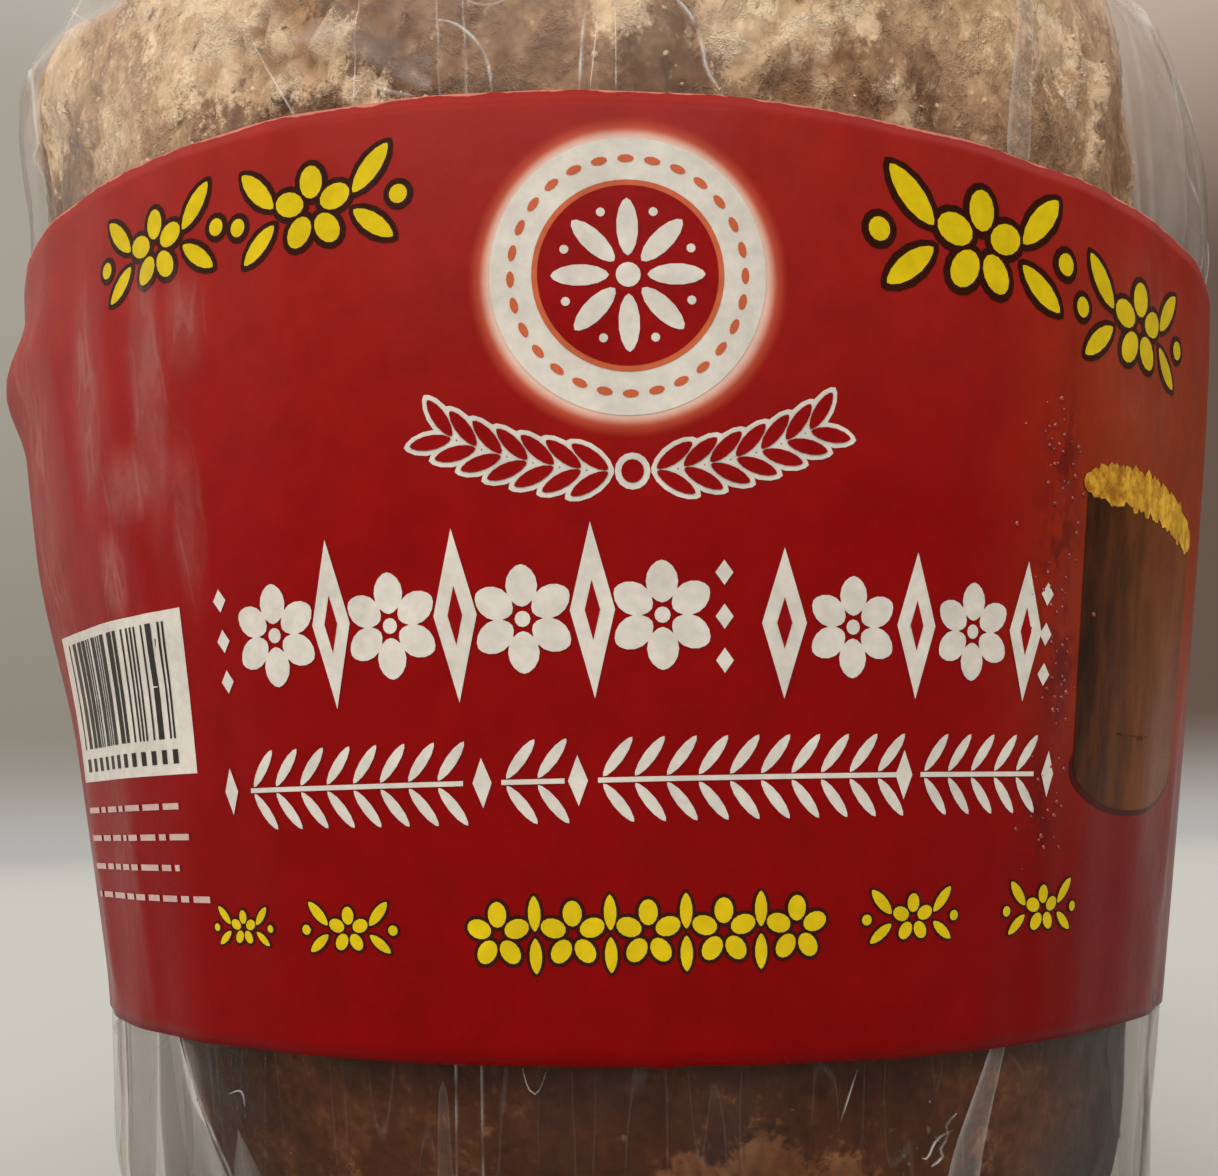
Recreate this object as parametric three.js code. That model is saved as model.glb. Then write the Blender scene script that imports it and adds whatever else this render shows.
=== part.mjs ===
// A one-kilogram block of jaggery, sold in a clear film bag with a printed label round its middle.
// The block is cast in a bucket, so it is a round frustum with its wide end up and a crumbled, domed top.
// The film bag is drawn tight over it, its mouth gathered into pleats and a short tuft above the dome.
// Units are millimetres, +Z is up, the front of the label faces -Y, and the origin is on the base's centre.
import * as THREE from "three";

const radians = THREE.MathUtils.degToRad; // angles round the pack are given in degrees from the front

// Driving dimensions of the bag, each as a radius at a height
const BASE_RADIUS = 35; // the flat that the pack stands on
const HEEL_RADIUS = 42.9; // where the rounded bottom edge meets the wall
const HEEL_Z = 11;
const WIDEST_RADIUS = 54.2;
const WIDEST_Z = 96;
const SHOULDER_RADIUS = 50.6; // where the wall has begun to turn in over the block's rim
const SHOULDER_Z = 113;
const NECK_RADIUS = 5.5; // the gathered neck
const NECK_Z = 127;
const TUFT_RADIUS = 13; // the frill of film above the neck
const TUFT_Z = 139;
const TUFT_DISH = 4; // how far the tuft's open mouth sinks in its middle

// How the profile runs between those points, as radius and height from the nearer one
const HEEL_FULLNESS = 0.6; // the rounded edge stops this much short of a square corner
const WALL_FLARE = { out: 5.5, up: 40 };
const WALL_STRAIGHTENING = { out: -0.8, up: -25 };
const RIM_START = { out: 0, up: 9 };
const RIM_END = { out: 2.6, up: -6 };
const DOME_START = { out: -6, up: 9 };
const DOME_END = { out: 12, up: -3.5 };
const TUFT_START = { out: -1, up: 5 };
const TUFT_END = { out: -5, up: -5 };

// Unevenness of the wall, from the lumps of the block under the film
const WALL_LUMPS = [
  { size: 0.45, turns: 2, phase: 0.6, climb: 1 / 60 },
  { size: 0.35, turns: 3, phase: 2.1, climb: 1 / 45 },
  { size: 0.2, turns: 5, phase: 4.0, climb: 1 / 28 },
];
const SHOULDER_LUMPS = [
  { size: 0.8, turns: 4, phase: 1.3, climb: 1 / 19 },
  { size: 0.6, turns: 7, phase: 0.2, climb: 1 / 13 },
];
const SHOULDER_LEAN = 1.2; // the block's top sits nearer the bag's left wall
const SHOULDER_START_Z = 90;
const SHOULDER_FULL_Z = 103;
const DOME_Z = 122; // above this the film is free of the block

// Where the block has broken away and the film falls in over it. Each dip starts at its first height, is
// deepest between the next two, and has ended at the last.
const WALL_DIPS = [
  { depth: 2.4, phi: radians(-62), width: radians(38), heights: [100, 113, 122, 127] },
  { depth: 0.7, phi: radians(-70), width: radians(30), heights: [68, 82, 97, 110] },
  { depth: 1.15, phi: radians(-70), width: radians(30), heights: [14, 30, 46, 62] },
  { depth: 1.9, phi: radians(70), width: radians(34), heights: [96, 112, 122, 127] },
];

// Pleats of the gathered film, above the shoulder and round the heel
const PLEATS = 12;
const PLEAT_SWAY = 0.35; // how unevenly they are spread
const TOP_PLEAT_DEPTH = 1.5;
const NECK_PLEAT_DEPTH = 0.9;
const TUFT_PLEAT_DEPTH = 2.4;
const TUFT_WAVE = { size: 2.2, turns: 3, phase: 0.8 }; // how the tuft's rim rises and falls
const HEEL_PLEAT_DEPTH = 0.5;

// The label: a band round the bag, its edges a little out of level
const LABEL_BOTTOM_Z = 25.5;
const LABEL_TOP_Z = 83.4;
const LABEL_BOTTOM_TILT = 0.86; // the left side stands this much higher, and the right side lower
const LABEL_TOP_TILT = 2.58;
const LABEL_THICKNESS = 0.4;
const LABEL_GAP = 0.35; // air between the film and the label
const LABEL_BULGE = 1.6; // where the label has buckled off the bag, at its left
const LABEL_BULGE_PHI = radians(-68);
const LABEL_BULGE_Z = 76.4;
const LABEL_BULGE_WIDTH = radians(13);
const LABEL_BULGE_HEIGHT = 3.4;

// Fineness
const COLUMNS = 72;
const LABEL_ROWS = 12;
const BASE_ROWS = 1;
const HEEL_ROWS = 5;
const WALL_ROWS = 18;
const RIM_ROWS = 6;
const DOME_ROWS = 9;
const TUFT_ROWS = 6;
const MOUTH_ROWS = 2;

// 0 below `from`, 1 above `to`, and a smooth rise between them.
function rise(value, from, to) {
  return THREE.MathUtils.smoothstep(value, from, to);
}

// A bell of height 1 at 0 that has faded at about two widths.
function bell(distance, width) {
  return Math.exp(-((distance / width) ** 2));
}

function lumps(list, phi, z) {
  return list.reduce((sum, wave) => {
    return sum + wave.size * Math.cos(wave.turns * phi + wave.phase + z * wave.climb);
  }, 0);
}

// The turn from one angle to another, at most half a circle either way.
function turnBetween(phi, other) {
  return Math.atan2(Math.sin(phi - other), Math.cos(phi - other));
}

function wallDips(phi, z) {
  return WALL_DIPS.reduce((sum, { depth, phi: middle, width, heights: [start, full, until, end] }) => {
    const here = rise(z, start, full) * (1 - rise(z, until, end));
    return sum + depth * here * bell(turnBetween(phi, middle), width);
  }, 0);
}

// How far the film stands out from its even profile, at an angle from the front and a height.
function unevenness(phi, z) {
  const onWall = rise(z, 0, HEEL_Z) * (1 - rise(z, SHOULDER_Z, DOME_Z));
  const onShoulder = rise(z, SHOULDER_START_Z, SHOULDER_FULL_Z) * (1 - rise(z, DOME_Z - 3, NECK_Z));
  const lean = -SHOULDER_LEAN * Math.sin(phi);
  const bumps = onWall * lumps(WALL_LUMPS, phi, z) + onShoulder * (lumps(SHOULDER_LUMPS, phi, z) + lean);
  return bumps - wallDips(phi, z);
}

// The point that lies at a step from a named one.
function from(radius, z, step = { out: 0, up: 0 }) {
  return new THREE.Vector2(radius + step.out, z + step.up);
}

// The wall's even profile: a straight taper that turns upright at the widest point.
const wallCurve = new THREE.CubicBezierCurve(
  from(HEEL_RADIUS, HEEL_Z),
  from(HEEL_RADIUS, HEEL_Z, WALL_FLARE),
  from(WIDEST_RADIUS, WIDEST_Z, WALL_STRAIGHTENING),
  from(WIDEST_RADIUS, WIDEST_Z),
);
const WALL_SAMPLES = wallCurve.getPoints(200);

function wallRadius(z) {
  const above = WALL_SAMPLES.findIndex((point) => point.y >= z);
  const [low, high] = [WALL_SAMPLES[above - 1], WALL_SAMPLES[above]];
  return THREE.MathUtils.mapLinear(z, low.y, high.y, low.x, high.x);
}

// The bag's profile from the middle of its base to the middle of its mouth.
function bagProfile() {
  const base = new THREE.LineCurve(from(0, 0), from(BASE_RADIUS, 0));
  const heel = new THREE.QuadraticBezierCurve(
    from(BASE_RADIUS, 0),
    from(HEEL_RADIUS - HEEL_FULLNESS, 0),
    from(HEEL_RADIUS, HEEL_Z),
  );
  const rim = new THREE.CubicBezierCurve(
    from(WIDEST_RADIUS, WIDEST_Z),
    from(WIDEST_RADIUS, WIDEST_Z, RIM_START),
    from(SHOULDER_RADIUS, SHOULDER_Z, RIM_END),
    from(SHOULDER_RADIUS, SHOULDER_Z),
  );
  const dome = new THREE.CubicBezierCurve(
    from(SHOULDER_RADIUS, SHOULDER_Z),
    from(SHOULDER_RADIUS, SHOULDER_Z, DOME_START),
    from(NECK_RADIUS, NECK_Z, DOME_END),
    from(NECK_RADIUS, NECK_Z),
  );
  const tuft = new THREE.CubicBezierCurve(
    from(NECK_RADIUS, NECK_Z),
    from(NECK_RADIUS, NECK_Z, TUFT_START),
    from(TUFT_RADIUS, TUFT_Z, TUFT_END),
    from(TUFT_RADIUS, TUFT_Z),
  );
  const mouth = new THREE.LineCurve(from(TUFT_RADIUS, TUFT_Z), from(0, TUFT_Z - TUFT_DISH));
  const runs = [
    [base, BASE_ROWS],
    [heel, HEEL_ROWS],
    [wallCurve, WALL_ROWS],
    [rim, RIM_ROWS],
    [dome, DOME_ROWS],
    [tuft, TUFT_ROWS],
    [mouth, MOUTH_ROWS],
  ];
  return runs.flatMap(([curve, rows], run) => curve.getPoints(rows).slice(run === 0 ? 0 : 1));
}

// How deep the pleats are at a point of the profile.
function pleatDepth({ x: radius, y: z }) {
  if (z >= NECK_Z) {
    const fromMiddle = Math.min(1, radius / NECK_RADIUS);
    return fromMiddle * THREE.MathUtils.lerp(NECK_PLEAT_DEPTH, TUFT_PLEAT_DEPTH, rise(z, NECK_Z, TUFT_Z));
  }
  if (z > SHOULDER_Z) {
    return TOP_PLEAT_DEPTH * rise(z, SHOULDER_Z, DOME_Z - 4) * rise(radius, 0, 2 * NECK_RADIUS);
  }
  return HEEL_PLEAT_DEPTH * rise(z, 0, HEEL_Z / 2) * (1 - rise(z, HEEL_Z, 2 * HEEL_Z));
}

// Spins a profile into a solid, with each point moved to place(phi, row), given as its radius and height.
function spun(profile, place) {
  const geometry = new THREE.LatheGeometry(profile, COLUMNS);
  const position = geometry.attributes.position;
  for (let column = 0; column <= COLUMNS; column++) {
    const phi = ((column % COLUMNS) / COLUMNS) * 2 * Math.PI;
    profile.forEach((_, row) => {
      const { radius, z } = place(phi, row);
      position.setXYZ(column * profile.length + row, radius * Math.sin(phi), -radius * Math.cos(phi), z);
    });
  }
  return geometry;
}

// The film bag with the block inside it, as one solid out to the film.
function bagGeometry() {
  const profile = bagProfile();
  const last = profile.length - 1;
  const normals = profile.map((_, row) => {
    const [before, after] = [profile[Math.max(row - 1, 0)], profile[Math.min(row + 1, last)]];
    return new THREE.Vector2(after.y - before.y, before.x - after.x).normalize();
  });
  return spun(profile, (phi, row) => {
    const point = profile[row];
    if (point.x === 0 || point.y === 0) return { radius: point.x, z: point.y };
    const pleat = pleatDepth(point) * Math.cos(PLEATS * phi + PLEAT_SWAY * Math.sin(2 * phi));
    const push = unevenness(phi, point.y) + pleat;
    const onRim = rise(point.y, NECK_Z, TUFT_Z) * rise(point.x, 0, TUFT_RADIUS);
    const lift = onRim * TUFT_WAVE.size * Math.cos(TUFT_WAVE.turns * phi + TUFT_WAVE.phase);
    return { radius: point.x + push * normals[row].x, z: point.y + push * normals[row].y + lift };
  });
}

// How far the label stands off the bag, beyond the gap.
function labelBulge(phi, z) {
  const turn = turnBetween(phi, LABEL_BULGE_PHI);
  return LABEL_BULGE * bell(turn, LABEL_BULGE_WIDTH) * bell(z - LABEL_BULGE_Z, LABEL_BULGE_HEIGHT);
}

// The label, a closed band whose inner face follows the bag. Its section is a loop, down the inner face and up
// the outer one.
function labelGeometry() {
  const shares = Array.from({ length: LABEL_ROWS + 1 }, (_, row) => row / LABEL_ROWS);
  const inner = shares.map((share) => ({ stand: LABEL_GAP, share })).reverse();
  const outer = shares.map((share) => ({ stand: LABEL_GAP + LABEL_THICKNESS, share }));
  const loop = [...inner, ...outer, inner[0]];
  const profile = loop.map(({ stand, share }) => {
    const z = THREE.MathUtils.lerp(LABEL_BOTTOM_Z, LABEL_TOP_Z, share);
    return from(wallRadius(z) + stand, z);
  });
  return spun(profile, (phi, row) => {
    const bottom = LABEL_BOTTOM_Z - LABEL_BOTTOM_TILT * Math.sin(phi);
    const top = LABEL_TOP_Z - LABEL_TOP_TILT * Math.sin(phi);
    const z = THREE.MathUtils.lerp(bottom, top, loop[row].share);
    return { radius: wallRadius(z) + unevenness(phi, z) + labelBulge(phi, z) + loop[row].stand, z };
  });
}

function named(name, geometry, color, roughness) {
  const mesh = new THREE.Mesh(geometry, new THREE.MeshStandardMaterial({ color, roughness, metalness: 0 }));
  mesh.name = name;
  return mesh;
}

const pack = new THREE.Group();
pack.add(named("bagged_block", bagGeometry(), 0x7d5a42, 0.35));
pack.add(named("label", labelGeometry(), 0x8f1210, 0.3));

export default pack;
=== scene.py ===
import math
import random

import bmesh
import bpy
import numpy as np
from mathutils import Matrix, Vector, noise
from mathutils.geometry import interpolate_bezier


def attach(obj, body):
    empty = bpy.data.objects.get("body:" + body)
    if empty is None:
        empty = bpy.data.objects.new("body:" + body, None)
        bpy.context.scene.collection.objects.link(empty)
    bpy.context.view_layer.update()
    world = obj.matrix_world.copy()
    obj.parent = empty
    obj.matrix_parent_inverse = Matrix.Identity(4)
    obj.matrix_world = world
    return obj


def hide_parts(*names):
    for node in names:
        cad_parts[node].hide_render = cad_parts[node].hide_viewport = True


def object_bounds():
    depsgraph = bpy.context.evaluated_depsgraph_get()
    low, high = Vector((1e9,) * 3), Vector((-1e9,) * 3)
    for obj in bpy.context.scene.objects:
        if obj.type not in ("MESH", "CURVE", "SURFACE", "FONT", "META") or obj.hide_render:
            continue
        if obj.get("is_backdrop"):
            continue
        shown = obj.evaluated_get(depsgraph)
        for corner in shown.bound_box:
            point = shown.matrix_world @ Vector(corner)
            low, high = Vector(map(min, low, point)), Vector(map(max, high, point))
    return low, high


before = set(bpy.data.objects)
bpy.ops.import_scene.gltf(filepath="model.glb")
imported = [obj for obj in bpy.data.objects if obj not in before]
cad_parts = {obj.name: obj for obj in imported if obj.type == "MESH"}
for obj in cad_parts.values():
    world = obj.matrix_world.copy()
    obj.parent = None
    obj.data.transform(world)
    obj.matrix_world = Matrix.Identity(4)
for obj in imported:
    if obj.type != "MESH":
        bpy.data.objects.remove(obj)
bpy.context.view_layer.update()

# Camera, close to the front of the label and a little below its middle, looking slightly up.
MM = 0.001
camera_data = bpy.data.cameras.new("camera")
camera_data.lens = 39.78
camera_data.clip_start = 0.005
camera = bpy.data.objects.new("camera", camera_data)
camera.matrix_world = (
    Matrix.Translation(Vector((-1.29, -129.0, 40.0)) * MM)
    @ Matrix.Rotation(math.radians(90 + 9.744), 4, "X")
    @ Matrix.Rotation(math.radians(-1.285), 4, "Z")
)
bpy.context.collection.objects.link(camera)
bpy.context.scene.camera = camera


# Film bag. Clear polypropylene film, 0.05 mm thick, drawn tight over the block and hanging straight where the
# block rounds away below it. Its mouth is gathered into pleats and pinched to a tuft. Sizes here are in
# millimetres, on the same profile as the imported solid.
BASE_RADIUS = 35
HEEL = (42.9, 11)
WIDEST = (54.2, 96)
SHOULDER = (50.6, 113)
NECK = (5.5, 127)
TUFT = (13, 139)
TUFT_DISH = 4
DOME_Z = 122
WALL_LUMPS = [(0.45, 2, 0.6, 1 / 60), (0.35, 3, 2.1, 1 / 45), (0.2, 5, 4.0, 1 / 28)]
SHOULDER_LUMPS = [(0.8, 4, 1.3, 1 / 19), (0.6, 7, 0.2, 1 / 13)]
SHOULDER_LEAN = 1.2
# Where the film falls in over a broken part of the block: depth, angle and width in degrees, and the heights
# where the dip starts, is at its full depth, begins to end, and has ended.
WALL_DIPS = [
    (2.4, -62, 38, (100, 113, 122, 127)),
    (0.7, -70, 30, (68, 82, 97, 110)),
    (1.15, -70, 30, (14, 30, 46, 62)),
    (1.9, 70, 34, (96, 112, 122, 127)),
]
PLEATS = 12
FILM_COLUMNS = 480
WALL_ARC = 52  # millimetres to a radian, near enough all the way up the wall


def beside(point, out, up):
    return (point[0] + out, point[1] + up)


def bend(start, first_handle, second_handle, end, rows):
    """The points of a bent stretch of profile, as radius and height, without its first."""
    knots = [Vector((r, z, 0)) for r, z in (start, first_handle, second_handle, end)]
    return [(p.x, p.y) for p in interpolate_bezier(*knots, rows + 1)[1:]]


def straight(start, end, rows):
    return [tuple(Vector(start).lerp(Vector(end), (row + 1) / rows)) for row in range(rows)]


bag_profile = [
    (0.0, 0.0),
    *straight((0, 0), (BASE_RADIUS, 0), 14),
    *bend((BASE_RADIUS, 0), (39.9, 0), (42.5, 3.7), HEEL, 14),
    *bend(HEEL, beside(HEEL, 5.5, 40), beside(WIDEST, -0.8, -25), WIDEST, 84),
    *bend(WIDEST, beside(WIDEST, 0, 9), beside(SHOULDER, 2.6, -6), SHOULDER, 20),
    *bend(SHOULDER, beside(SHOULDER, -6, 9), beside(NECK, 12, -3.5), NECK, 46),
    *bend(NECK, beside(NECK, -1, 5), beside(TUFT, -5, -5), TUFT, 16),
    *straight(TUFT, (0, TUFT[1] - TUFT_DISH), 6),
]
outline = np.array(bag_profile)
run = np.concatenate([[0], np.cumsum(np.linalg.norm(np.diff(outline, axis=0), axis=1))])
along = np.gradient(outline, axis=0)
outward = np.stack([along[:, 1], -along[:, 0]], axis=1)
outward /= np.linalg.norm(outward, axis=1)[:, None]
neck_row = bag_profile.index(min(bag_profile[120:], key=lambda point: math.dist(point, NECK)))
wall_rows = slice(14, neck_row)  # from the base's rim up to the neck


def rise(value, low, high):
    """0 below low, 1 above high, and a smooth rise between them."""
    share = np.clip((value - low) / (high - low), 0, 1)
    return share * share * (3 - 2 * share)


def bell(distance, width):
    return np.exp(-((distance / width) ** 2))


def turn_between(phi, other):
    return np.arctan2(np.sin(phi - other), np.cos(phi - other))


def lumps(waves, phi, z):
    return sum(size * np.cos(turns * phi + phase + z * climb) for size, turns, phase, climb in waves)


def dips(places, phi, z):
    total = np.zeros_like(phi)
    for depth, angle, width, (start, full, until, end) in places:
        here = rise(z, start, full) * (1 - rise(z, until, end))
        total = total + depth * here * bell(turn_between(phi, math.radians(angle)), math.radians(width))
    return total


def unevenness(phi, z):
    """How far the film stands out from its even profile, from the lumps and hollows of the block under it."""
    on_wall = rise(z, 0, HEEL[1]) * (1 - rise(z, SHOULDER[1], DOME_Z))
    on_shoulder = rise(z, 90, 103) * (1 - rise(z, DOME_Z - 3, NECK[1]))
    lean = -SHOULDER_LEAN * np.sin(phi)
    bumps = on_wall * lumps(WALL_LUMPS, phi, z) + on_shoulder * (lumps(SHOULDER_LUMPS, phi, z) + lean)
    return bumps - dips(WALL_DIPS, phi, z)


def pleat_depth(radius, z, run_at):
    gathered = run_at >= run[neck_row]
    at_neck = np.minimum(1, radius / NECK[0]) * (0.9 + 1.5 * rise(z, NECK[1], TUFT[1]))
    on_dome = 1.5 * rise(z, SHOULDER[1], DOME_Z - 4) * rise(radius, 0, 2 * NECK[0])
    at_heel = 0.5 * rise(z, 0, HEEL[1] / 2) * (1 - rise(z, HEEL[1], 2 * HEEL[1]))
    return np.where(gathered, at_neck, np.where(z > SHOULDER[1], on_dome, at_heel))


# Small gathers that run from the shoulder up into the neck, each at its own angle.
gather_seed = random.Random(11)
gathers = [
    (gather_seed.uniform(-math.pi, math.pi), gather_seed.uniform(0.02, 0.05), gather_seed.uniform(0.3, 1.1))
    for _ in range(70)
]
# Broad folds on the wall: angle in degrees and height at both ends, width, height and how milky the fold is.
WALL_FOLDS = [
    ((-57.5, 100), (-55.6, 92), 0.9, 0.6, 0.2),
    ((-55.6, 92), (-52, 84), 0.9, 0.5, 0.2),
    ((-64, 110), (-62, 84), 1.6, 0.5, 0.05),
    ((-40, 112), (-26, 96), 1.3, 0.4, 0.1),
    ((-21, 92), (-13, 86), 1.2, 0.4, 0.15),
    ((50, 112), (52, 84), 1.8, 0.6, 0.08),
    ((56, 112), (58, 84), 2.2, 0.5, 0.08),
    ((64, 112), (63, 84), 2.4, 0.6, 0.1),
    ((72, 112), (69, 84), 1.8, 0.6, 0.1),
    ((-66, 26), (-66, 3), 1.3, 0.7, 0.4),
    ((-60, 26), (-59.5, 3), 0.7, 0.5, 0.9),
    ((-54.5, 27), (-55, 3), 1.3, 0.5, 0.2),
    ((61, 26), (63, 3), 1.4, 0.6, 0.25),
    ((70, 26), (70, 3), 1.2, 0.6, 0.35),
    ((110, 26), (112, 2), 1.3, 0.6, 0.4),
    ((-112, 26), (-108, 2), 1.3, 0.6, 0.4),
    ((150, 26), (146, 2), 1.2, 0.5, 0.4),
    ((-152, 26), (-157, 2), 1.2, 0.5, 0.4),
    ((104, 112), (99, 84), 1.6, 0.8, 0.35),
    ((140, 110), (128, 86), 1.5, 0.7, 0.3),
    ((172, 112), (178, 84), 1.6, 0.8, 0.35),
    ((-146, 112), (-139, 84), 1.5, 0.8, 0.3),
    ((-104, 112), (-108, 84), 1.6, 0.7, 0.35),
]


def from_line(phi, z, start, end):
    """How far a point of the wall is from the line between two others, in millimetres."""
    across = turn_between(phi, math.radians(start[0])) * WALL_ARC
    line = np.array([math.radians(end[0] - start[0]) * WALL_ARC, end[1] - start[1]])
    point = np.stack([across, z - start[1]], axis=-1)
    share = np.clip(point @ line / (line @ line), 0, 1)
    return np.linalg.norm(point - share[..., None] * line, axis=-1)


def folds(phi, z, radius):
    """How far the wall's folds stand out, and how milky the film is there."""
    height, milky = np.zeros_like(phi), np.zeros_like(phi)
    for start, end, width, high, pale in WALL_FOLDS:
        near = bell(from_line(phi, z, start, end), width)
        height += high * near
        milky = np.maximum(milky, pale * near**2)
    milky = np.maximum(milky, 0.1 * rise(z, 80, 95))
    up_dome = rise(z, SHOULDER[1] - 8, DOME_Z) * rise(radius, NECK[0] * 0.6, NECK[0] * 3)
    for angle, width, high in gathers:
        near = bell(turn_between(phi, angle), width * (0.6 + 0.4 * radius / 50))
        height += 0.8 * high * near * up_dome
        milky = np.maximum(milky, 0.55 * high * near**2 * up_dome)
    return height, milky


def about_axis(far, phi, z):
    """Points from their distances from the axis, angles from the front, and heights."""
    return np.stack([far * np.sin(phi), -far * np.cos(phi), z], axis=-1)


def film_point(phi, run_at, lift=0.0):
    """Where the film is at an angle and a distance along its profile, and how milky it is there."""
    radius, z, out, up = (np.interp(run_at, run, column) for column in (*outline.T, *outward.T))
    height, milky = folds(phi, z, radius)
    pleat = pleat_depth(radius, z, run_at) * np.cos(PLEATS * phi + 0.35 * np.sin(2 * phi))
    free = (radius > 1e-6) & (z > 1e-6)
    push = np.where(free, unevenness(phi, z) + pleat + height, 0) + lift
    on_rim = rise(z, NECK[1], TUFT[1]) * rise(radius, 0, TUFT[0]) * (run_at >= run[neck_row])
    rim_wave = on_rim * 2.2 * np.cos(3 * phi + 0.8)
    far = np.maximum(0, radius + push * out)
    return about_axis(far, phi, z + push * up + np.where(free, rim_wave, 0)), milky


def run_at_height(z):
    """The distance along the profile at a height on the wall or dome."""
    return np.interp(z, outline[wall_rows, 1], run[wall_rows])


def wall_radius(z):
    """The radius of the even profile at a height on the wall or dome."""
    return np.interp(z, outline[wall_rows, 1], outline[wall_rows, 0])


def mesh_of(name, bm):
    mesh = bpy.data.meshes.new(name)
    bm.to_mesh(mesh)
    bm.free()
    return mesh


def spun_mesh(name, profile, columns):
    """A profile spun round the block's axis, with each point's angle and place in the profile."""
    bm = bmesh.new()
    row_layer = bm.verts.layers.float.new("row")
    verts = [bm.verts.new((0, -r, z)) for r, z in profile]
    for row, vert in enumerate(verts):
        vert[row_layer] = row
    spun = verts + [bm.edges.new(pair) for pair in zip(verts, verts[1:])]
    full = 2 * math.pi
    bmesh.ops.spin(bm, geom=spun, cent=(0, 0, 0), axis=(0, 0, 1), angle=full, steps=columns, use_merge=True)
    bmesh.ops.remove_doubles(bm, verts=bm.verts, dist=1e-4)
    bmesh.ops.recalc_face_normals(bm, faces=bm.faces)
    mesh = mesh_of(name, bm)
    places = places_in(mesh)
    rows = np.array([item.value for item in mesh.attributes["row"].data])
    return mesh, np.arctan2(places[:, 0], -places[:, 1]), rows.round().astype(int)


def places_in(mesh):
    """A mesh's points, one to a row."""
    places = np.empty(len(mesh.vertices) * 3)
    mesh.vertices.foreach_get("co", places)
    return places.reshape(-1, 3)


def mask(mesh, name, values):
    layer = mesh.attributes.get(name) or mesh.attributes.new(name, "FLOAT", "POINT")
    layer.data.foreach_set("value", np.asarray(values, dtype=np.float32))


def finished(mesh, points, material, smooth=True):
    """Puts a mesh's points in their places, in metres, and makes it a piece of the part."""
    mesh.vertices.foreach_set("co", (np.asarray(points) * MM).astype(np.float32).ravel())
    mesh.polygons.foreach_set("use_smooth", [smooth] * len(mesh.polygons))
    mesh.materials.append(material)
    mesh.update()
    piece = bpy.data.objects.new(mesh.name, mesh)
    bpy.context.collection.objects.link(piece)
    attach(piece, "root")
    return piece


def open_nodes(owner):
    """Empties the shader nodes of a material or the world, and opens them: new nodes go there from now on."""
    global tree
    owner.use_nodes = True
    tree = owner.node_tree
    tree.nodes.clear()


def new_material(name):
    """A material whose nodes are open."""
    material = bpy.data.materials.new(name)
    open_nodes(material)
    return material


def add(kind, inputs=None, **settings):
    """The outputs of a new shader node, which has its settings, and its inputs either set or linked."""
    node = tree.nodes.new(kind)
    for name, value in settings.items():
        setattr(node, name, value)
    for name, value in (inputs or {}).items():
        socket = node.inputs[name]
        if isinstance(value, bpy.types.NodeSocket):
            tree.links.new(value, socket)
        else:
            socket.default_value = (*value, 1) if socket.type == "RGBA" else value
    return node.outputs


def math_node(operation, *values, clamp=False):
    return add("ShaderNodeMath", dict(enumerate(values)), operation=operation, use_clamp=clamp)[0]


def times(first, second, clamp=False):
    return math_node("MULTIPLY", first, second, clamp=clamp)


def scaled(value, factor, base, clamp=False):
    """A value times a factor, added to a base."""
    return math_node("MULTIPLY_ADD", value, factor, base, clamp=clamp)


def spread(value, low, high, start, end=1.0, way="LINEAR"):
    """`start` where a value is low, `end` where it is high, and between them in between."""
    inputs = {"Value": value, "From Min": low, "From Max": high, "To Min": start, "To Max": end}
    return add("ShaderNodeMapRange", inputs, interpolation_type=way)[0]


def smooth_range(value, low, high, end=1.0):
    """0 where a value is low, and `end` where it is high."""
    return spread(value, low, high, 0.0, end, "SMOOTHSTEP")


def mixed(factor, first, second, blend="MIX"):
    inputs = {"Factor": factor, "A": first, "B": second}
    return add("ShaderNodeMix", inputs, data_type="RGBA", blend_type=blend)["Result"]


def here():
    """The place that is shaded."""
    return add("ShaderNodeTexCoord")["Object"]


def painted(name):
    """A mask that the mesh carries."""
    return add("ShaderNodeAttribute", attribute_name=name)["Fac"]


def grain(scale, detail, roughness=0.55, stretch=None):
    """Noise at a scale per metre, drawn out upwards where it is stretched."""
    place = here()
    if stretch:
        place = add("ShaderNodeMapping", {"Vector": place, "Scale": (1, 1, 1 / stretch)})[0]
    inputs = {"Vector": place, "Scale": scale, "Detail": detail, "Roughness": roughness}
    return add("ShaderNodeTexNoise", inputs)[0]


def level_line(height, level, width):
    """The thin lines where a noise crosses a level."""
    off = math_node("ABSOLUTE", math_node("SUBTRACT", height, level))
    return smooth_range(off, width, width * 0.3)


def bumped(height, strength, distance):
    inputs = {"Height": height, "Strength": strength, "Distance": distance}
    return add("ShaderNodeBump", inputs)[0]


def open_group(name, inputs, outputs):
    """An open group of shader nodes with named sockets, and the sockets that its inputs arrive on."""
    global tree
    tree = bpy.data.node_groups.new(name, "ShaderNodeTree")
    for label, kind, value in inputs:
        socket = tree.interface.new_socket(label, in_out="INPUT", socket_type="NodeSocket" + kind)
        socket.default_value = value
    for label, kind in outputs:
        tree.interface.new_socket(label, in_out="OUTPUT", socket_type="NodeSocket" + kind)
    return tree, add("NodeGroupInput")


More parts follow.
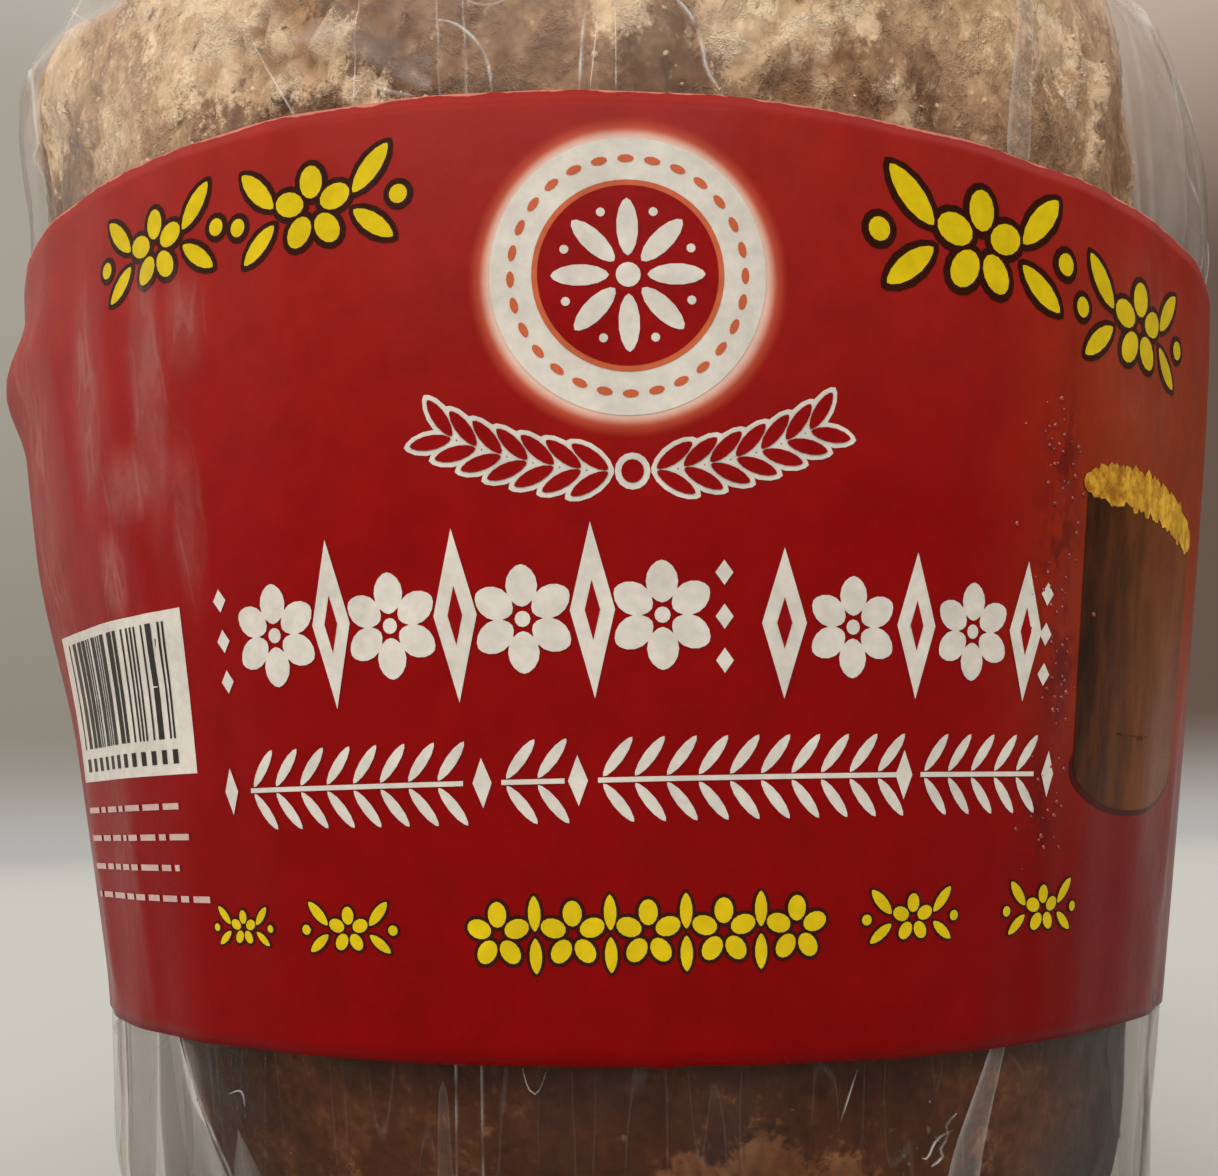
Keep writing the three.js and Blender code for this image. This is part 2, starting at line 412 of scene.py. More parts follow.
# Wear of the film: soft scuffs, fine upright pulls, and creases that are whiter in some places than others.
film_wear, wear_in = open_group(
    "film_wear",
    [("Scuffs", "Float", 0.02), ("Pulls", "Float", 0.03)],
    [("Haze", "Float"), ("Height", "Float"), ("Patchy", "Float")],
)
scuffs = smooth_range(grain(75, 2, 0.65), 0.45, 0.75)
pulls = grain(240, 2, 0.55, stretch=5)
fine_pulls = level_line(grain(520, 0, 0.5, stretch=16), 0.5, 0.02)
hazed = times(scuffs, wear_in["Scuffs"])
haze = math_node("ADD", hazed, times(fine_pulls, wear_in["Pulls"]))
patchy = smooth_range(grain(430, 1, 0.6), 0.32, 0.62)
add("NodeGroupOutput", {"Haze": haze, "Height": pulls, "Patchy": patchy})


def film_material(
    name, haze, milkiness, scuffs=0.01, pulls=0.02, roughness=0.14, tint=0.95, sheen=0.004, rim=0.5,
    patchiness=0.5, thickens=False
):
    """Clear film: it lets most light through, reflects the lights, and is milky where it is creased."""
    material = new_material(name)
    wear = add("ShaderNodeGroup", {"Scuffs": scuffs, "Pulls": pulls}, node_tree=film_wear)
    milky = painted("milky")
    broken = times(milky, scaled(wear["Patchy"], patchiness, 1 - patchiness))
    cloudy = math_node("ADD", scaled(broken, milkiness, haze), wear["Haze"], clamp=True)
    bump = bumped(wear["Height"], 0.2, 0.0004)
    passing = (tint, tint * 0.98, tint * 0.965)
    if thickens:
        passing = mixed(milky, (1, 1, 1), passing)
    clear = add("ShaderNodeBsdfTransparent", {"Color": passing})[0]
    white = add("ShaderNodeBsdfDiffuse", {"Color": (0.86, 0.84, 0.81)})[0]
    glossy = {"Color": (1, 1, 1), "Roughness": roughness, "Normal": bump}
    gloss = add("ShaderNodeBsdfAnisotropic", glossy)[0]
    facing = add("ShaderNodeLayerWeight", {"Blend": 0.5, "Normal": bump})["Facing"]
    edge_on = scaled(math_node("POWER", facing, 4.0), rim, sheen)
    reflects = scaled(broken, milkiness * 0.12, edge_on)
    body = add("ShaderNodeMixShader", {0: cloudy, 1: clear, 2: white})[0]
    surface = add("ShaderNodeMixShader", {0: reflects, 1: body, 2: gloss})[0]
    add("ShaderNodeOutputMaterial", {"Surface": surface})
    return material


film_mesh, film_phi, film_row = spun_mesh("film_bag", bag_profile, FILM_COLUMNS)
film_places, film_milky = film_point(film_phi, run[film_row])
mask(film_mesh, "milky", film_milky)
film = finished(film_mesh, film_places, film_material("clear_film", 0.003, 0.3))
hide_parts("bagged_block")


# Film seams, creases and doubled folds. The tube of film is closed by a lengthwise heat seal, two thin welded
# lines a few millimetres apart. Where there is film to spare it is folded double and lies as a flat milky
# band, and where it was pinched it keeps a sharp white crease.
def rounded(path):
    """A path with its corners cut twice."""
    path = np.array(path, dtype=float)
    for _ in range(2):
        cut = np.repeat(path, 2, axis=0)[1:-1]
        cut[0::2] = 0.75 * path[:-1] + 0.25 * path[1:]
        cut[1::2] = 0.25 * path[:-1] + 0.75 * path[1:]
        path = np.concatenate([path[:1], cut, path[-1:]])
    return path


def film_strip(bm, path, lift, ridge):
    """A strip of film along a path of angles, heights and widths. Its points hold angle, height and lift."""
    path = rounded(path)
    lengths = np.hypot(np.radians(np.diff(path[:, 0])) * WALL_ARC, np.diff(path[:, 1]))
    station = np.concatenate([[0], np.cumsum(lengths)])
    pieces = max(8, int(station[-1] * 1.6))
    made = bmesh.ops.create_grid(bm, x_segments=pieces, y_segments=6, size=0.5)["verts"]
    for vert in made:
        at = (vert.co.x + 0.5) * station[-1]
        side = vert.co.y * 2
        angle, height, width = (np.interp(at, station, column) for column in path.T)
        turn, climb = (np.diff(np.interp([at - 0.3, at + 0.3], station, column))[0] for column in path.T[:2])
        way = Vector((math.radians(turn) * WALL_ARC, climb)).normalized()
        taper = min(1, math.sqrt(max(0, min(at, station[-1] - at)) / 0.8))
        reach = side * width * taper / 2
        angle = math.radians(angle) - way.y * reach / WALL_ARC
        vert.co = (angle, height + way.x * reach, lift + ridge * (1 - side * side))


def lay_strips(name, paths, material, lift, ridge, edge_only=False):
    """Lays strips of film on the bag, milky along their middle or only along their edges."""
    bm = bmesh.new()
    for path in paths:
        film_strip(bm, path, lift, ridge)
    mesh = mesh_of(name, bm)
    flat = places_in(mesh)
    places, _ = film_point(flat[:, 0], run_at_height(flat[:, 1]), flat[:, 2])
    to_edge = np.clip(1 - (flat[:, 2] - lift) / ridge, 0, 1)
    mask(mesh, "milky", to_edge**3 if edge_only else (1 - to_edge) ** 1.5)
    strips = finished(mesh, places, material)
    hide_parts("bagged_block")


def faint_film(name, milkiness, roughness=0.25, tint=1, patchiness=0.4, thickens=False):
    """Film that is clear but for its milky marks, or for a tint that thickens with them."""
    return film_material(
        name, 0, milkiness, 0, 0, roughness, tint, sheen=0, rim=0.05, patchiness=patchiness, thickens=thickens
    )


def layered_film(name, haze, milkiness, tint, scuffs=0.02, roughness=0.25):
    """Film in more than one layer."""
    return film_material(name, haze, milkiness, scuffs, 0.03, roughness, tint, rim=0.1)


SEAM_HEIGHTS = (0.8, 14, 27, 84, 90, 121)
SEAM_ANGLES = [(-14.6, -15.2, -14.2, -11.8, -12.0, -13.2), (-12.4, -12.9, -12.2, -10.0, -10.2, -11.3)]
SEAMS = [[(angle, height, 0.3) for angle, height in zip(angles, SEAM_HEIGHTS)] for angles in SEAM_ANGLES]
lay_strips("heat_seal", SEAMS, faint_film("welded_film", 0.16, 0.2, patchiness=0.8), lift=0.03, ridge=0.14)

DOUBLED = [
    [(32.2, 112, 1.0), (31.2, 95, 1.2), (30.3, 88, 1.8), (29.8, 82, 2.2)],
    [(31.8, 26, 1.3), (29.6, 21.4, 2.2), (27.4, 17.2, 3.2), (26.5, 12, 3.0), (27.5, 2, 1.5)],
    [(60, 27, 2.4), (60.6, 16, 2.2), (61.5, 3, 1.6)],
    [(96, 114, 1.5), (97, 84, 2.2)],
    [(-128, 112, 1.4), (-131, 84, 1.8)],
    [(158, 114, 1.2), (155, 84, 2.0)],
    [(-98, 27, 1.8), (-96, 3, 1.5)],
    [(132, 27, 1.5), (134, 3, 2.2)],
]
doubled_film = layered_film("doubled_film", 0.075, 0.16, 0.94, scuffs=0.04, roughness=0.22)
lay_strips("doubled_folds", DOUBLED, doubled_film, lift=0.08, ridge=0.12, edge_only=True)

# Slack film, which hangs in several layers beside the block's foot and over its sides, and is greyer there.
SLACK = [
    [(-15.5, 24.6, 0.6), (-15.8, 18, 1.3), (-15.7, 2, 1.4)],
    [(-71, 83, 11), (-71, 94, 11), (-69, 104, 7)],
    [(-57, 27, 20), (-55, 18, 20), (-52, 8, 18), (-50, 2, 14)],
    [(56, 27, 15), (59, 18, 13), (61, 10, 10), (63, 2, 7)],
    [(71, 27, 9), (71, 14, 8), (71, 2, 6)],
    [(60, 84, 12), (60, 92, 12), (60, 100, 9), (60, 108, 5)],
    [(130, 84, 12), (128, 100, 9)],
    [(-110, 27, 10), (-108, 2, 8)],
]
slack_film = layered_film("slack_film", 0.022, 0.05, 0.86)
lay_strips("slack_folds", SLACK, slack_film, lift=0.12, ridge=0.05, edge_only=True)

# Beside the block's foot the film hangs in still more layers, greyed partly by painted shade, and a hazy flap
# of it is folded over the foot.
HANGING = [
    [(-45.3, 27.5, 3.0), (-45, 21.5, 5.0), (-42.8, 17, 10), (-40, 8, 13), (-40, 2, 10)],
    [(-52.2, 27.5, 8.4), (-52.2, 21, 7.0), (-52.4, 14, 3.0), (-52.4, 8, 0.5)],
]
shaded_hanging_film = layered_film("shaded_hanging_film", 0.01, 0.03, 0.68)
lay_strips("hanging_folds", HANGING, shaded_hanging_film, lift=0.24, ridge=0.04, edge_only=True)
lay_strips("hanging_lining", HANGING[:1], shaded_hanging_film, lift=0.32, ridge=0.04, edge_only=True)
FLAP = [[(-35.5, 20.7, 0.1), (-34.9, 18, 3.2), (-33.6, 14, 6.0), (-32, 4, 7)]]
lay_strips("folded_flap", FLAP, layered_film("flap_film", 0.045, 0.05, 0.92), lift=0.3, ridge=0.04)

# Bands where the film is stretched or rubbed soft and only a little milky.
SOFT_BANDS = [
    [(-23.2, 89.8, 1.2), (-21.4, 90.0, 1.6), (-19.4, 89.7, 1.8), (-16.4, 87.3, 1.6), (-12.3, 84.6, 1.2)],
    [(-60, 101.5, 2.0), (-55.6, 101.0, 3.0), (-50.7, 100.6, 3.2), (-45.7, 99.8, 2.6), (-40.7, 98.7, 1.6)],
    [(-58, 101.4, 0.8), (-53.6, 101.0, 1.4), (-48.7, 100.4, 1.6), (-44.7, 99.6, 1.4), (-40.7, 98.9, 0.8)],
    [(-60.7, 102.6, 1.2), (-57, 98.4, 2.0), (-56.4, 95.8, 2.2), (-56, 92.1, 2.0), (-54.9, 88.7, 1.8),
     (-52.6, 83, 1.2)],
    [(-58.5, 99, 0.5), (-56.5, 95.8, 0.9), (-56.1, 92.1, 0.9), (-55, 88.7, 0.8), (-52.8, 83, 0.5)],
    [(42, 100.8, 1.2), (45.5, 99.8, 2.2), (51.1, 99.9, 2.4), (54.8, 98.4, 2.2), (57, 94, 1.4), (60, 87, 0.8)],
    [(47, 100.4, 0.8), (51.5, 100.3, 1.2), (55.2, 98.6, 1.2), (57.2, 95, 0.8)],
    [(41, 97, 1.2), (42.1, 91.4, 1.6), (44, 84.5, 1.4), (44.5, 81, 1.2)],
    [(44.5, 98, 1.0), (45.2, 92, 1.8), (46.3, 86, 1.8), (47, 81, 1.4)],
    [(49, 98.5, 1.2), (50.5, 92, 2.0), (52, 86, 1.8), (53, 81, 1.2)],
    [(54, 97, 0.9), (56, 91, 1.4), (58.5, 86, 1.2), (60, 81, 0.9)],
]
lay_strips("soft_bands", SOFT_BANDS, faint_film("soft_film", 0.15), lift=0.16, ridge=0.06)

# The whitest streaks, where the film turns over its shoulder and along its left side.
STREAKS = [
    [(43, 98.8, 0.8), (45.5, 99.3, 1.8), (51.1, 99.9, 2.6), (54.4, 98.7, 2.4), (52.4, 95.8, 2.0),
     (51, 93, 1.6), (53.2, 89.2, 1.2), (58, 86.6, 0.6)],
    [(44, 101, 1.5), (49, 99.6, 4.2), (52.6, 98, 4.8), (52.6, 94.6, 3.2), (52.6, 90, 1.6)],
    [(-62.5, 27, 3.2), (-62.5, 23, 2.8), (-62, 20, 1.8), (-60.5, 17, 1.0), (-59, 13, 0.6)],
    [(-62, 102.4, 1.2), (-58, 99.4, 1.6), (-56.6, 96, 1.8), (-56.2, 92, 1.6), (-55, 88.6, 1.2),
     (-53, 84, 0.8)],
]
lay_strips("rubbed_streaks", STREAKS, faint_film("rubbed_film", 0.4), lift=0.1, ridge=0.05)

# Wide veils, where slack film hangs a little off the block and is faintly milky and grey.
VEILS = [
    [(46, 101, 5), (48, 92, 8), (49, 81, 8)],
    [(52, 100, 5), (54, 92, 7), (56, 81, 8)],
    [(-42, 26, 2.5), (-40, 20, 3), (-36.5, 15, 2)],
]
veiled_film = faint_film("veiled_film", 0.11, tint=0.88, thickens=True)
lay_strips("film_veils", VEILS, veiled_film, lift=0.4, ridge=0.05)
# Greyed film over the block's right foot, below the label: layers of film, and a painted shadow of the label.
SHADED_FOOT_VEIL = [[(51.5, 28, 26), (50.5, 18, 22), (49, 8, 18), (49, 2, 16)]]
shaded_foot_film = faint_film("shaded_foot_film", 0.04, tint=0.6, thickens=True)
lay_strips("shaded_foot_veil", SHADED_FOOT_VEIL, shaded_foot_film, lift=0.4, ridge=0.05)

# Creases in the film over the front of the block, then others seeded all round the shoulder and the foot.
CREASES = [
    [(-26.4, 91.0, 0.22), (-25.6, 89.4, 0.25), (-24.0, 86.8, 0.2), (-22.6, 84.4, 0.3)],
    [(-17.3, 94, 0.16), (-17.4, 91.4, 0.16), (-17.8, 88.5, 0.14), (-18.2, 84.5, 0.2)],
    [(-12.6, 89.3, 0.2), (-10.8, 88.9, 0.3), (-9.4, 87.6, 0.4), (-8.5, 86.0, 0.4), (-8.4, 83.8, 0.3)],
    [(-18.4, 84.6, 0.3), (-17.4, 86.1, 0.25), (-15.6, 85.0, 0.45), (-13.6, 84.4, 0.35)],
    [(-18.8, 86.7, 0.14), (-17.7, 85.9, 0.22), (-16.8, 86.2, 0.16), (-15.1, 85.5, 0.2)],
    [(-1.6, 91.5, 0.25), (-1.9, 89.6, 0.3), (-2.3, 87.7, 0.35), (-2.6, 83.8, 0.35)],
    [(-1.0, 91.5, 0.12), (-1.2, 89.0, 0.14), (-1.9, 83.8, 0.16)],
    [(-0.2, 91.5, 0.14), (-0.1, 88.3, 0.14), (-0.2, 83.6, 0.18)],
    [(-10.6, 90.7, 0.2), (-9.6, 89.9, 0.25), (-8.2, 89.6, 0.25), (-6.8, 90.2, 0.2)],
    [(3.2, 90.2, 0.3), (4.4, 89.2, 0.35), (5.1, 88.2, 0.4), (5.6, 86.6, 0.45), (5.8, 84.9, 0.4),
     (6.8, 83.7, 0.4)],
    [(-60.0, 108.5, 0.2), (-51.0, 102.5, 0.2), (-45.0, 98.4, 0.14)],
    [(-53.5, 101.2, 0.16), (-48.5, 100.6, 0.16), (-41.0, 99.4, 0.14)],
    [(-51.3, 105.0, 0.14), (-51.7, 102.1, 0.2), (-53.2, 100.6, 0.14)],
    [(-45.2, 101.2, 0.12), (-50.2, 104.6, 0.16), (-56.0, 105.2, 0.14)],
    [(-43.6, 27, 0.3), (-43.3, 26.1, 0.3), (-41.9, 23.3, 0.34), (-39.6, 20.2, 0.3), (-36.6, 17.2, 0.28),
     (-33, 9, 0.2)],
    [(-36.8, 22.8, 0.12), (-35.0, 23.3, 0.18), (-34.8, 22.2, 0.14)],
    [(52, 100, 0.3), (55.5, 98, 0.4), (58.5, 93, 0.3), (62, 86, 0.25), (63, 82, 0.2)],
    [(-58.6, 26.5, 0.3), (-58.8, 19.4, 0.5), (-58.0, 12.0, 0.5), (-57.5, 4, 0.3)],
    [(-54.8, 25.5, 0.12), (-55.4, 18.4, 0.16), (-54.8, 11.0, 0.16)],
    [(-9.1, 25.4, 0.12), (-8.7, 24.0, 0.14), (-7.9, 23.8, 0.12), (-7.2, 25.4, 0.1)],
    [(26.8, 21.2, 0.3), (25.4, 20.4, 0.4), (26.2, 19.8, 0.25), (24.9, 19.2, 0.35), (25.6, 18.6, 0.25),
     (24.2, 18.2, 0.35)],
    [(26.4, 20.2, 0.16), (24.6, 19.8, 0.25), (23.9, 18.6, 0.22), (23.2, 18.8, 0.3)],
    [(17.2, 24.6, 0.14), (16.4, 22.8, 0.18), (15.8, 21.6, 0.14)],
]
crease_seed = random.Random(3)
for low, high, count in ((86, 108, 22), (6, 24, 16)):
    for _ in range(count):
        angle, height = crease_seed.uniform(66, 294), crease_seed.uniform(low, high)
        CREASES.append([
            (angle, height, 0.14),
            (angle + crease_seed.uniform(-4, 4), height - crease_seed.uniform(1, 3), 0.3),
            (angle + crease_seed.uniform(-7, 7), height - crease_seed.uniform(3, 6), 0.14),
        ])
creased_film = faint_film("creased_film", 0.36, 0.16, patchiness=0.8)
lay_strips("film_creases", CREASES, creased_film, lift=0.03, ridge=0.13)


# Jaggery block. Cane juice boiled down and set in a bucket, so it has the bucket's taper and upright marks, a
# rounded foot and a broken, domed top. It is crumbly where it has dried, with pale frosting and coarse
# crystals.
BLOCK_ARC = 50  # millimetres to a radian of the block's wall
BLOCK_COLUMNS = 560
BLOCK_FOOT = 0.9
BLOCK_TOP = 119.0
FILM_CLEARANCE = 0.7
block_profile = [
    (0.0, BLOCK_FOOT),
    *straight((0, BLOCK_FOOT), (24, BLOCK_FOOT), 8),
    *bend((24, BLOCK_FOOT), (33, 1.2), (37.6, 7), (40.2, 18), 28),
    *bend((40.2, 18), (41.9, 26), (43.5, 32), (44.8, 40), 18),
    *bend((44.8, 40), (47, 54), (48.6, 70), (49.4, 80), 12),
    *bend((49.4, 80), (50.2, 90), (51.6, 104), (49.6, 110), 46),
    *bend((49.6, 110), (48.4, 113.5), (46, 114.8), (42, 115.5), 16),
    *bend((42, 115.5), (28, 118.8), (12, BLOCK_TOP), (0, BLOCK_TOP), 34),
]
# Dry, pale and crumbly patches: angle and height, size, and how frosted they are.
FROSTED = [
    (-56, 97, 7, 0.45),
    (-29, 92.5, 5.5, 0.85),
    (-25.5, 89, 3, 0.9),
    (-34, 98, 7, 0.7),
    (-21.5, 89.5, 2.6, 0.8),
    (-18, 86, 2.0, 0.6),
    (0.5, 89.8, 1.6, 1.0),
    (8.0, 89.0, 3.0, 1.0),
    (13.2, 86.0, 2.0, 1.0),
    (11, 92, 4, 0.9),
    (18, 90.6, 2.0, 0.7),
    (22, 86, 2.4, 0.55),
    (47.8, 96.4, 1.7, 1.2),
    (46.9, 93.0, 1.6, 1.2),
    (46.1, 90.2, 1.4, 1.2),
    (45.4, 87.4, 1.5, 1.2),
    (42.3, 94.2, 1.6, 1.1),
    (41.8, 91.6, 1.3, 1.0),
    (38, 94, 4.5, 0.6),
    (10.5, 17.6, 3.4, 0.9),
    (4.5, 16.6, 2.6, 0.9),
    (18, 15.4, 3.0, 0.8),
    (33, 17.5, 1.8, 0.5),
    (-31, 15, 3, 0.4),
    (-10, 14.5, 2.6, 0.45),
]
frost_seed = random.Random(5)
for *ranges, count in (
    ((65, 295), (84, 112), (3, 9), (0.5, 1), 20),
    ((60, 300), (6, 22), (3, 6), (0.4, 0.8), 9),
):
    FROSTED += [tuple(frost_seed.uniform(*limits) for limits in ranges) for _ in range(count)]
# Lumps that stand out of the wall: angle and height, half width, half height and how far they stand out.
STUCK_LUMPS = [
    (47.9, 96.8, 0.8, 1.2, 1.1),
    (47.3, 94.4, 0.9, 1.3, 1.2),
    (46.4, 91.8, 0.8, 1.3, 1.1),
    (45.7, 89.3, 0.8, 1.2, 1.2),
    (45.2, 86.9, 0.9, 1.0, 1.0),
    (42.4, 94.8, 0.7, 1.3, 1.2),
    (41.9, 92.2, 0.7, 1.3, 1.1),
    (-29, 92, 2.4, 2.2, 0.6),
    (9, 88, 1.8, 1.6, 0.6),
    (-52, 98, 3.0, 4.0, 0.5),
]
# Where the block's rim has broken away, given as the film's dips are, and where its top has dropped: angle
# and width in degrees, and how far.
BLOCK_DIPS = [
    (1.5, -62, 24, (60, 84, 94, 100)),
    (0.5, 66, 30, (97, 114, 130, 140)),
]
BROKEN_TOPS = [(-42, 24, 14), (66, 32, 2)]


def block_lean(z):
    """The block stands a little askew: its foot is to the right of the bag's axis and its top to the left."""
    return np.interp(z, [0, 11, 22, 45, 96, 130], [3.0, 3.0, 1.6, 0.0, -2.9, -2.9])


def over_the_rim(radius, z):
    """The height along the surface, going on over the rim and across the top."""
    return z + np.where(z > 60, np.maximum(0, 45 - radius), 0)


# Broad parts of the wall that have dried to a light tan, and parts that have stayed moist and darker: angle
# and height, size, and how much.
DRY_PARTS = [
    (-54, 100, 10, 1.15),
    (-44, 92, 6, 0.95),
    (-34, 94, 9, 0.7),
    (12, 91, 7, 0.65),
    (46, 94, 14, 0.8),
    (120, 95, 16, 0.5),
    (28, 93, 8, 0.5),
    (172, 102, 14, 0.7),
    (-120, 92, 14, 0.6),
    (96, 14, 12, 0.3),
    (-150, 12, 12, 0.3),
]
MOIST_PARTS = [(-13, 89, 6.5, 0.5), (-23, 85, 4.5, 0.4), (-31, 88, 4, 0.3), (-58, 89, 6, 0.45)]


def patches(places, phi, z):
    """How strong the strongest of some round patches is at each point."""
    strongest = np.zeros_like(phi)
    for angle, height, size, strength in places:
        away = np.hypot(turn_between(phi, math.radians(angle)) * BLOCK_ARC, z - height)
        strongest = np.maximum(strongest, strength * bell(away, size))
    return strongest


def frosting(phi, z):
    return np.maximum(patches(FROSTED, phi, z), 0.55 * rise(z, 111, 116))


def dryness(phi, z):
    return np.maximum(patches(DRY_PARTS, phi, z), 0.7 * rise(z, 106, 116)) - patches(MOIST_PARTS, phi, z)


def crags(place, frost):
    """Hollows, broken plates and grains, in millimetres."""
    broad = noise.fractal(place / 21, 0.9, 2.1, 3)
    worn = noise.noise(place / 9 + Vector((7, 3, 1)))
    crumbly = min(1, max(0, 0.1 + worn + 0.9 * frost))
    distances, centres = noise.voronoi(place / 4.4 + Vector((worn, 0, worn)))
    gap = 1 - min(1, (distances[1] - distances[0]) * 3.5)
    plate = noise.cell(centres[0] * 9.7)
    small_distances, small_centres = noise.voronoi(place / 1.9 + Vector((0, worn, 0)))
    small_gap = 1 - min(1, (small_distances[1] - small_distances[0]) * 3)
    small_plate = noise.cell(small_centres[0] * 9.7)
    mould_mark = noise.noise(Vector((place.x / 2.2, place.y / 2.2, place.z / 15)))
    return (
        1.0 * broad
        + crumbly * (0.5 * plate - 0.55 * gap)
        + (0.06 + 0.34 * frost) * (small_plate - small_gap)
        + 0.16 * (1 - crumbly) * mould_mark
    )


def block_places(phi, radius, z):
    """Where the block's surface is, from its angles and even profile, how frosted it is, and how deep in a
    hollow it lies, for painted shade.
    """
    to_front = 2.2 * rise(z, 60, 95) * np.cos(phi)
    aside = block_lean(z) * np.sin(phi) + to_front - dips(BLOCK_DIPS, phi, z)
    far = np.where(radius > 0, radius + rise(radius, 0, 45) * aside, 0)
    for angle, width, drop in BROKEN_TOPS:
        broken = bell(turn_between(phi, math.radians(angle)), math.radians(width))
        z = z - drop * broken * rise(z, 98, 117) * rise(radius, 4, 34)
    frost = frosting(phi, over_the_rim(radius, z))
    even = about_axis(far, phi, z)
    relief = np.array([crags(Vector(point), pale) for point, pale in zip(even, frost)])
    for angle, height, wide, tall, high in STUCK_LUMPS:
        aside = turn_between(phi, math.radians(angle)) * BLOCK_ARC
        relief = relief + high * bell(np.hypot(aside / wide, (z - height) / tall), 1.0)
    on_top = rise(radius, 47, 40)
    room = wall_radius(z) + unevenness(phi, z) - FILM_CLEARANCE
    far = np.where(on_top < 0.5, np.minimum(far + relief * rise(z, 1, 8), room), far)
    z = z + relief * on_top * rise(z, 60, 90)
    return about_axis(far, phi, z), frost, np.clip(0.5 - relief / 2.2, 0, 1)


def vector_node(operation, inputs, output="Vector"):
    return add("ShaderNodeVectorMath", inputs, operation=operation)[output]


def darkened(colour, other):
    """One colour times another."""
    return mixed(1, colour, other, "MULTIPLY")


# Grain of the set sugar: soft clouds, a fine crumb, chips that each have a tone and a tilt of their own, and
# bright flecks, at one scale in the block and in its crumbs.
sugar_grain, _ = open_group(
    "sugar_grain", [], [(label, "Float") for label in ("Clouds", "Crumb", "Chip", "Flecks", "Height")]
)
clouds = grain(120, 4, 0.65)
fine_crumb = grain(900, 4, 0.78)
shift = vector_node("SCALE", {0: fine_crumb, "Scale": 0.0011})
warped = vector_node("ADD", {0: here(), 1: shift})
chips = add("ShaderNodeTexVoronoi", {"Vector": warped, "Scale": 540})
across_chip = vector_node("SUBTRACT", {0: warped, 1: chips["Position"]})
chip_turn = vector_node("SUBTRACT", {0: chips["Color"], 1: (0.5, 0.5, 0.5)})
tilt = vector_node("DOT_PRODUCT", {0: across_chip, 1: chip_turn}, "Value")
grain_height = scaled(tilt, 1400, scaled(chips["Color"], 0.5, fine_crumb))
fleck_cells = add("ShaderNodeTexVoronoi", {"Vector": warped, "Scale": 1500})
fleck_spots = smooth_range(fleck_cells["Distance"], 0.36, 0.16)
flecks = times(fleck_spots, smooth_range(fleck_cells["Color"], 0.68, 0.76))
add(
    "NodeGroupOutput",
    {"Clouds": clouds, "Crumb": fine_crumb, "Chip": chips["Color"], "Flecks": flecks, "Height": grain_height},
)
SUGAR_TONES = [
    (0.14, (0.1, 0.04, 0.016)),
    (0.34, (0.2, 0.1, 0.05)),
    (0.5, (0.3, 0.17, 0.095)),
    (0.68, (0.5, 0.31, 0.175)),
    (0.84, (0.68, 0.47, 0.28)),
    (1.0, (0.9, 0.7, 0.45)),
]


def colour_ramp(value, tones):
    """The colour for a value, from a list of values and their colours."""
    ramp = add("ShaderNodeValToRGB", {"Fac": value})[0]
    stops = ramp.node.color_ramp.elements
    for number, (level, colour) in ((0, tones[0]), (1, tones[-1])):
        stops[number].position, stops[number].color = level, (*colour, 1)
    for level, colour in tones[1:-1]:
        stops.new(level).color = (*colour, 1)
    return ramp


def skinned(colour, roughness, specular, bump=None):
    """Ends a material in one plain surface."""
    inputs = {"Base Color": colour, "Roughness": roughness, "Specular IOR Level": specular}
    if bump is not None:
        inputs["Normal"] = bump
    add("ShaderNodeOutputMaterial", {"Surface": add("ShaderNodeBsdfPrincipled", inputs)[0]})


def jaggery_material():
    """Brown sugar with upright smears, pale where it is dry and frosted, darkened in its hollows by painted
    shade, and darker towards its foot by painted shade and moisture.
    """
    material = new_material("jaggery")
    height = add("ShaderNodeSeparateXYZ", {0: here()})["Z"]
    sugar = add("ShaderNodeGroup", node_tree=sugar_grain)
    smears = grain(300, 3, 0.65, stretch=5)
    blotches = grain(45, 2, 0.55)
    dry, frosted, hollow_shade = (painted(name) for name in ("dry", "frost", "hollow_shade"))
    tone = scaled(blotches, 0.6, times(sugar["Clouds"], 0.9))
    evened = times(math_node("SUBTRACT", 0.5, smears), dry)
    tone = scaled(scaled(evened, 0.8, smears), 0.35, tone)
    tone = scaled(sugar["Crumb"], 0.75, tone)
    tone = scaled(dry, 0.48, math_node("SUBTRACT", tone, 0.84))
    powdery = scaled(sugar["Crumb"], 1.2, math_node("SUBTRACT", frosted, 1.15))
    powdery = scaled(sugar["Clouds"], 1.3, powdery)
    pale = smooth_range(powdery, 0.3, 0.62, 0.9)
    chip_colour = mixed(sugar["Chip"], (0.66, 0.44, 0.26), (1.0, 0.8, 0.56))
    chip_colour = darkened(chip_colour, spread(sugar["Crumb"], 0.3, 0.7, 0.7, 1.15))
    frosty = mixed(pale, colour_ramp(tone, SUGAR_TONES), chip_colour)
    speckled = times(sugar["Flecks"], scaled(dry, 0.5, 0.15, clamp=True))
    frosty = mixed(speckled, frosty, (1.0, 0.85, 0.66))
    # Painted shade: the hollows of the relief are darkened to a warm brown.
    hollow_shade_colour = mixed(smooth_range(hollow_shade, 0.45, 1.0), (1, 1, 1), (0.5, 0.37, 0.28))
    shaded = darkened(frosty, hollow_shade_colour)
    # Painted shade, partly a moister foot: the colour darkens towards the bottom and the grain is smoother
    # there.
    foot_shade_and_moisture = smooth_range(height, 0.088, 0.03)
    foot_shaded = mixed(foot_shade_and_moisture, shaded, darkened(shaded, (0.235, 0.135, 0.083)))
    bump = bumped(sugar["Height"], scaled(foot_shade_and_moisture, -0.75, 0.95), 0.0004)
    skinned(foot_shaded, spread(sugar["Clouds"], 0.3, 0.6, 0.4, 0.75), 0.1, bump)
    return material


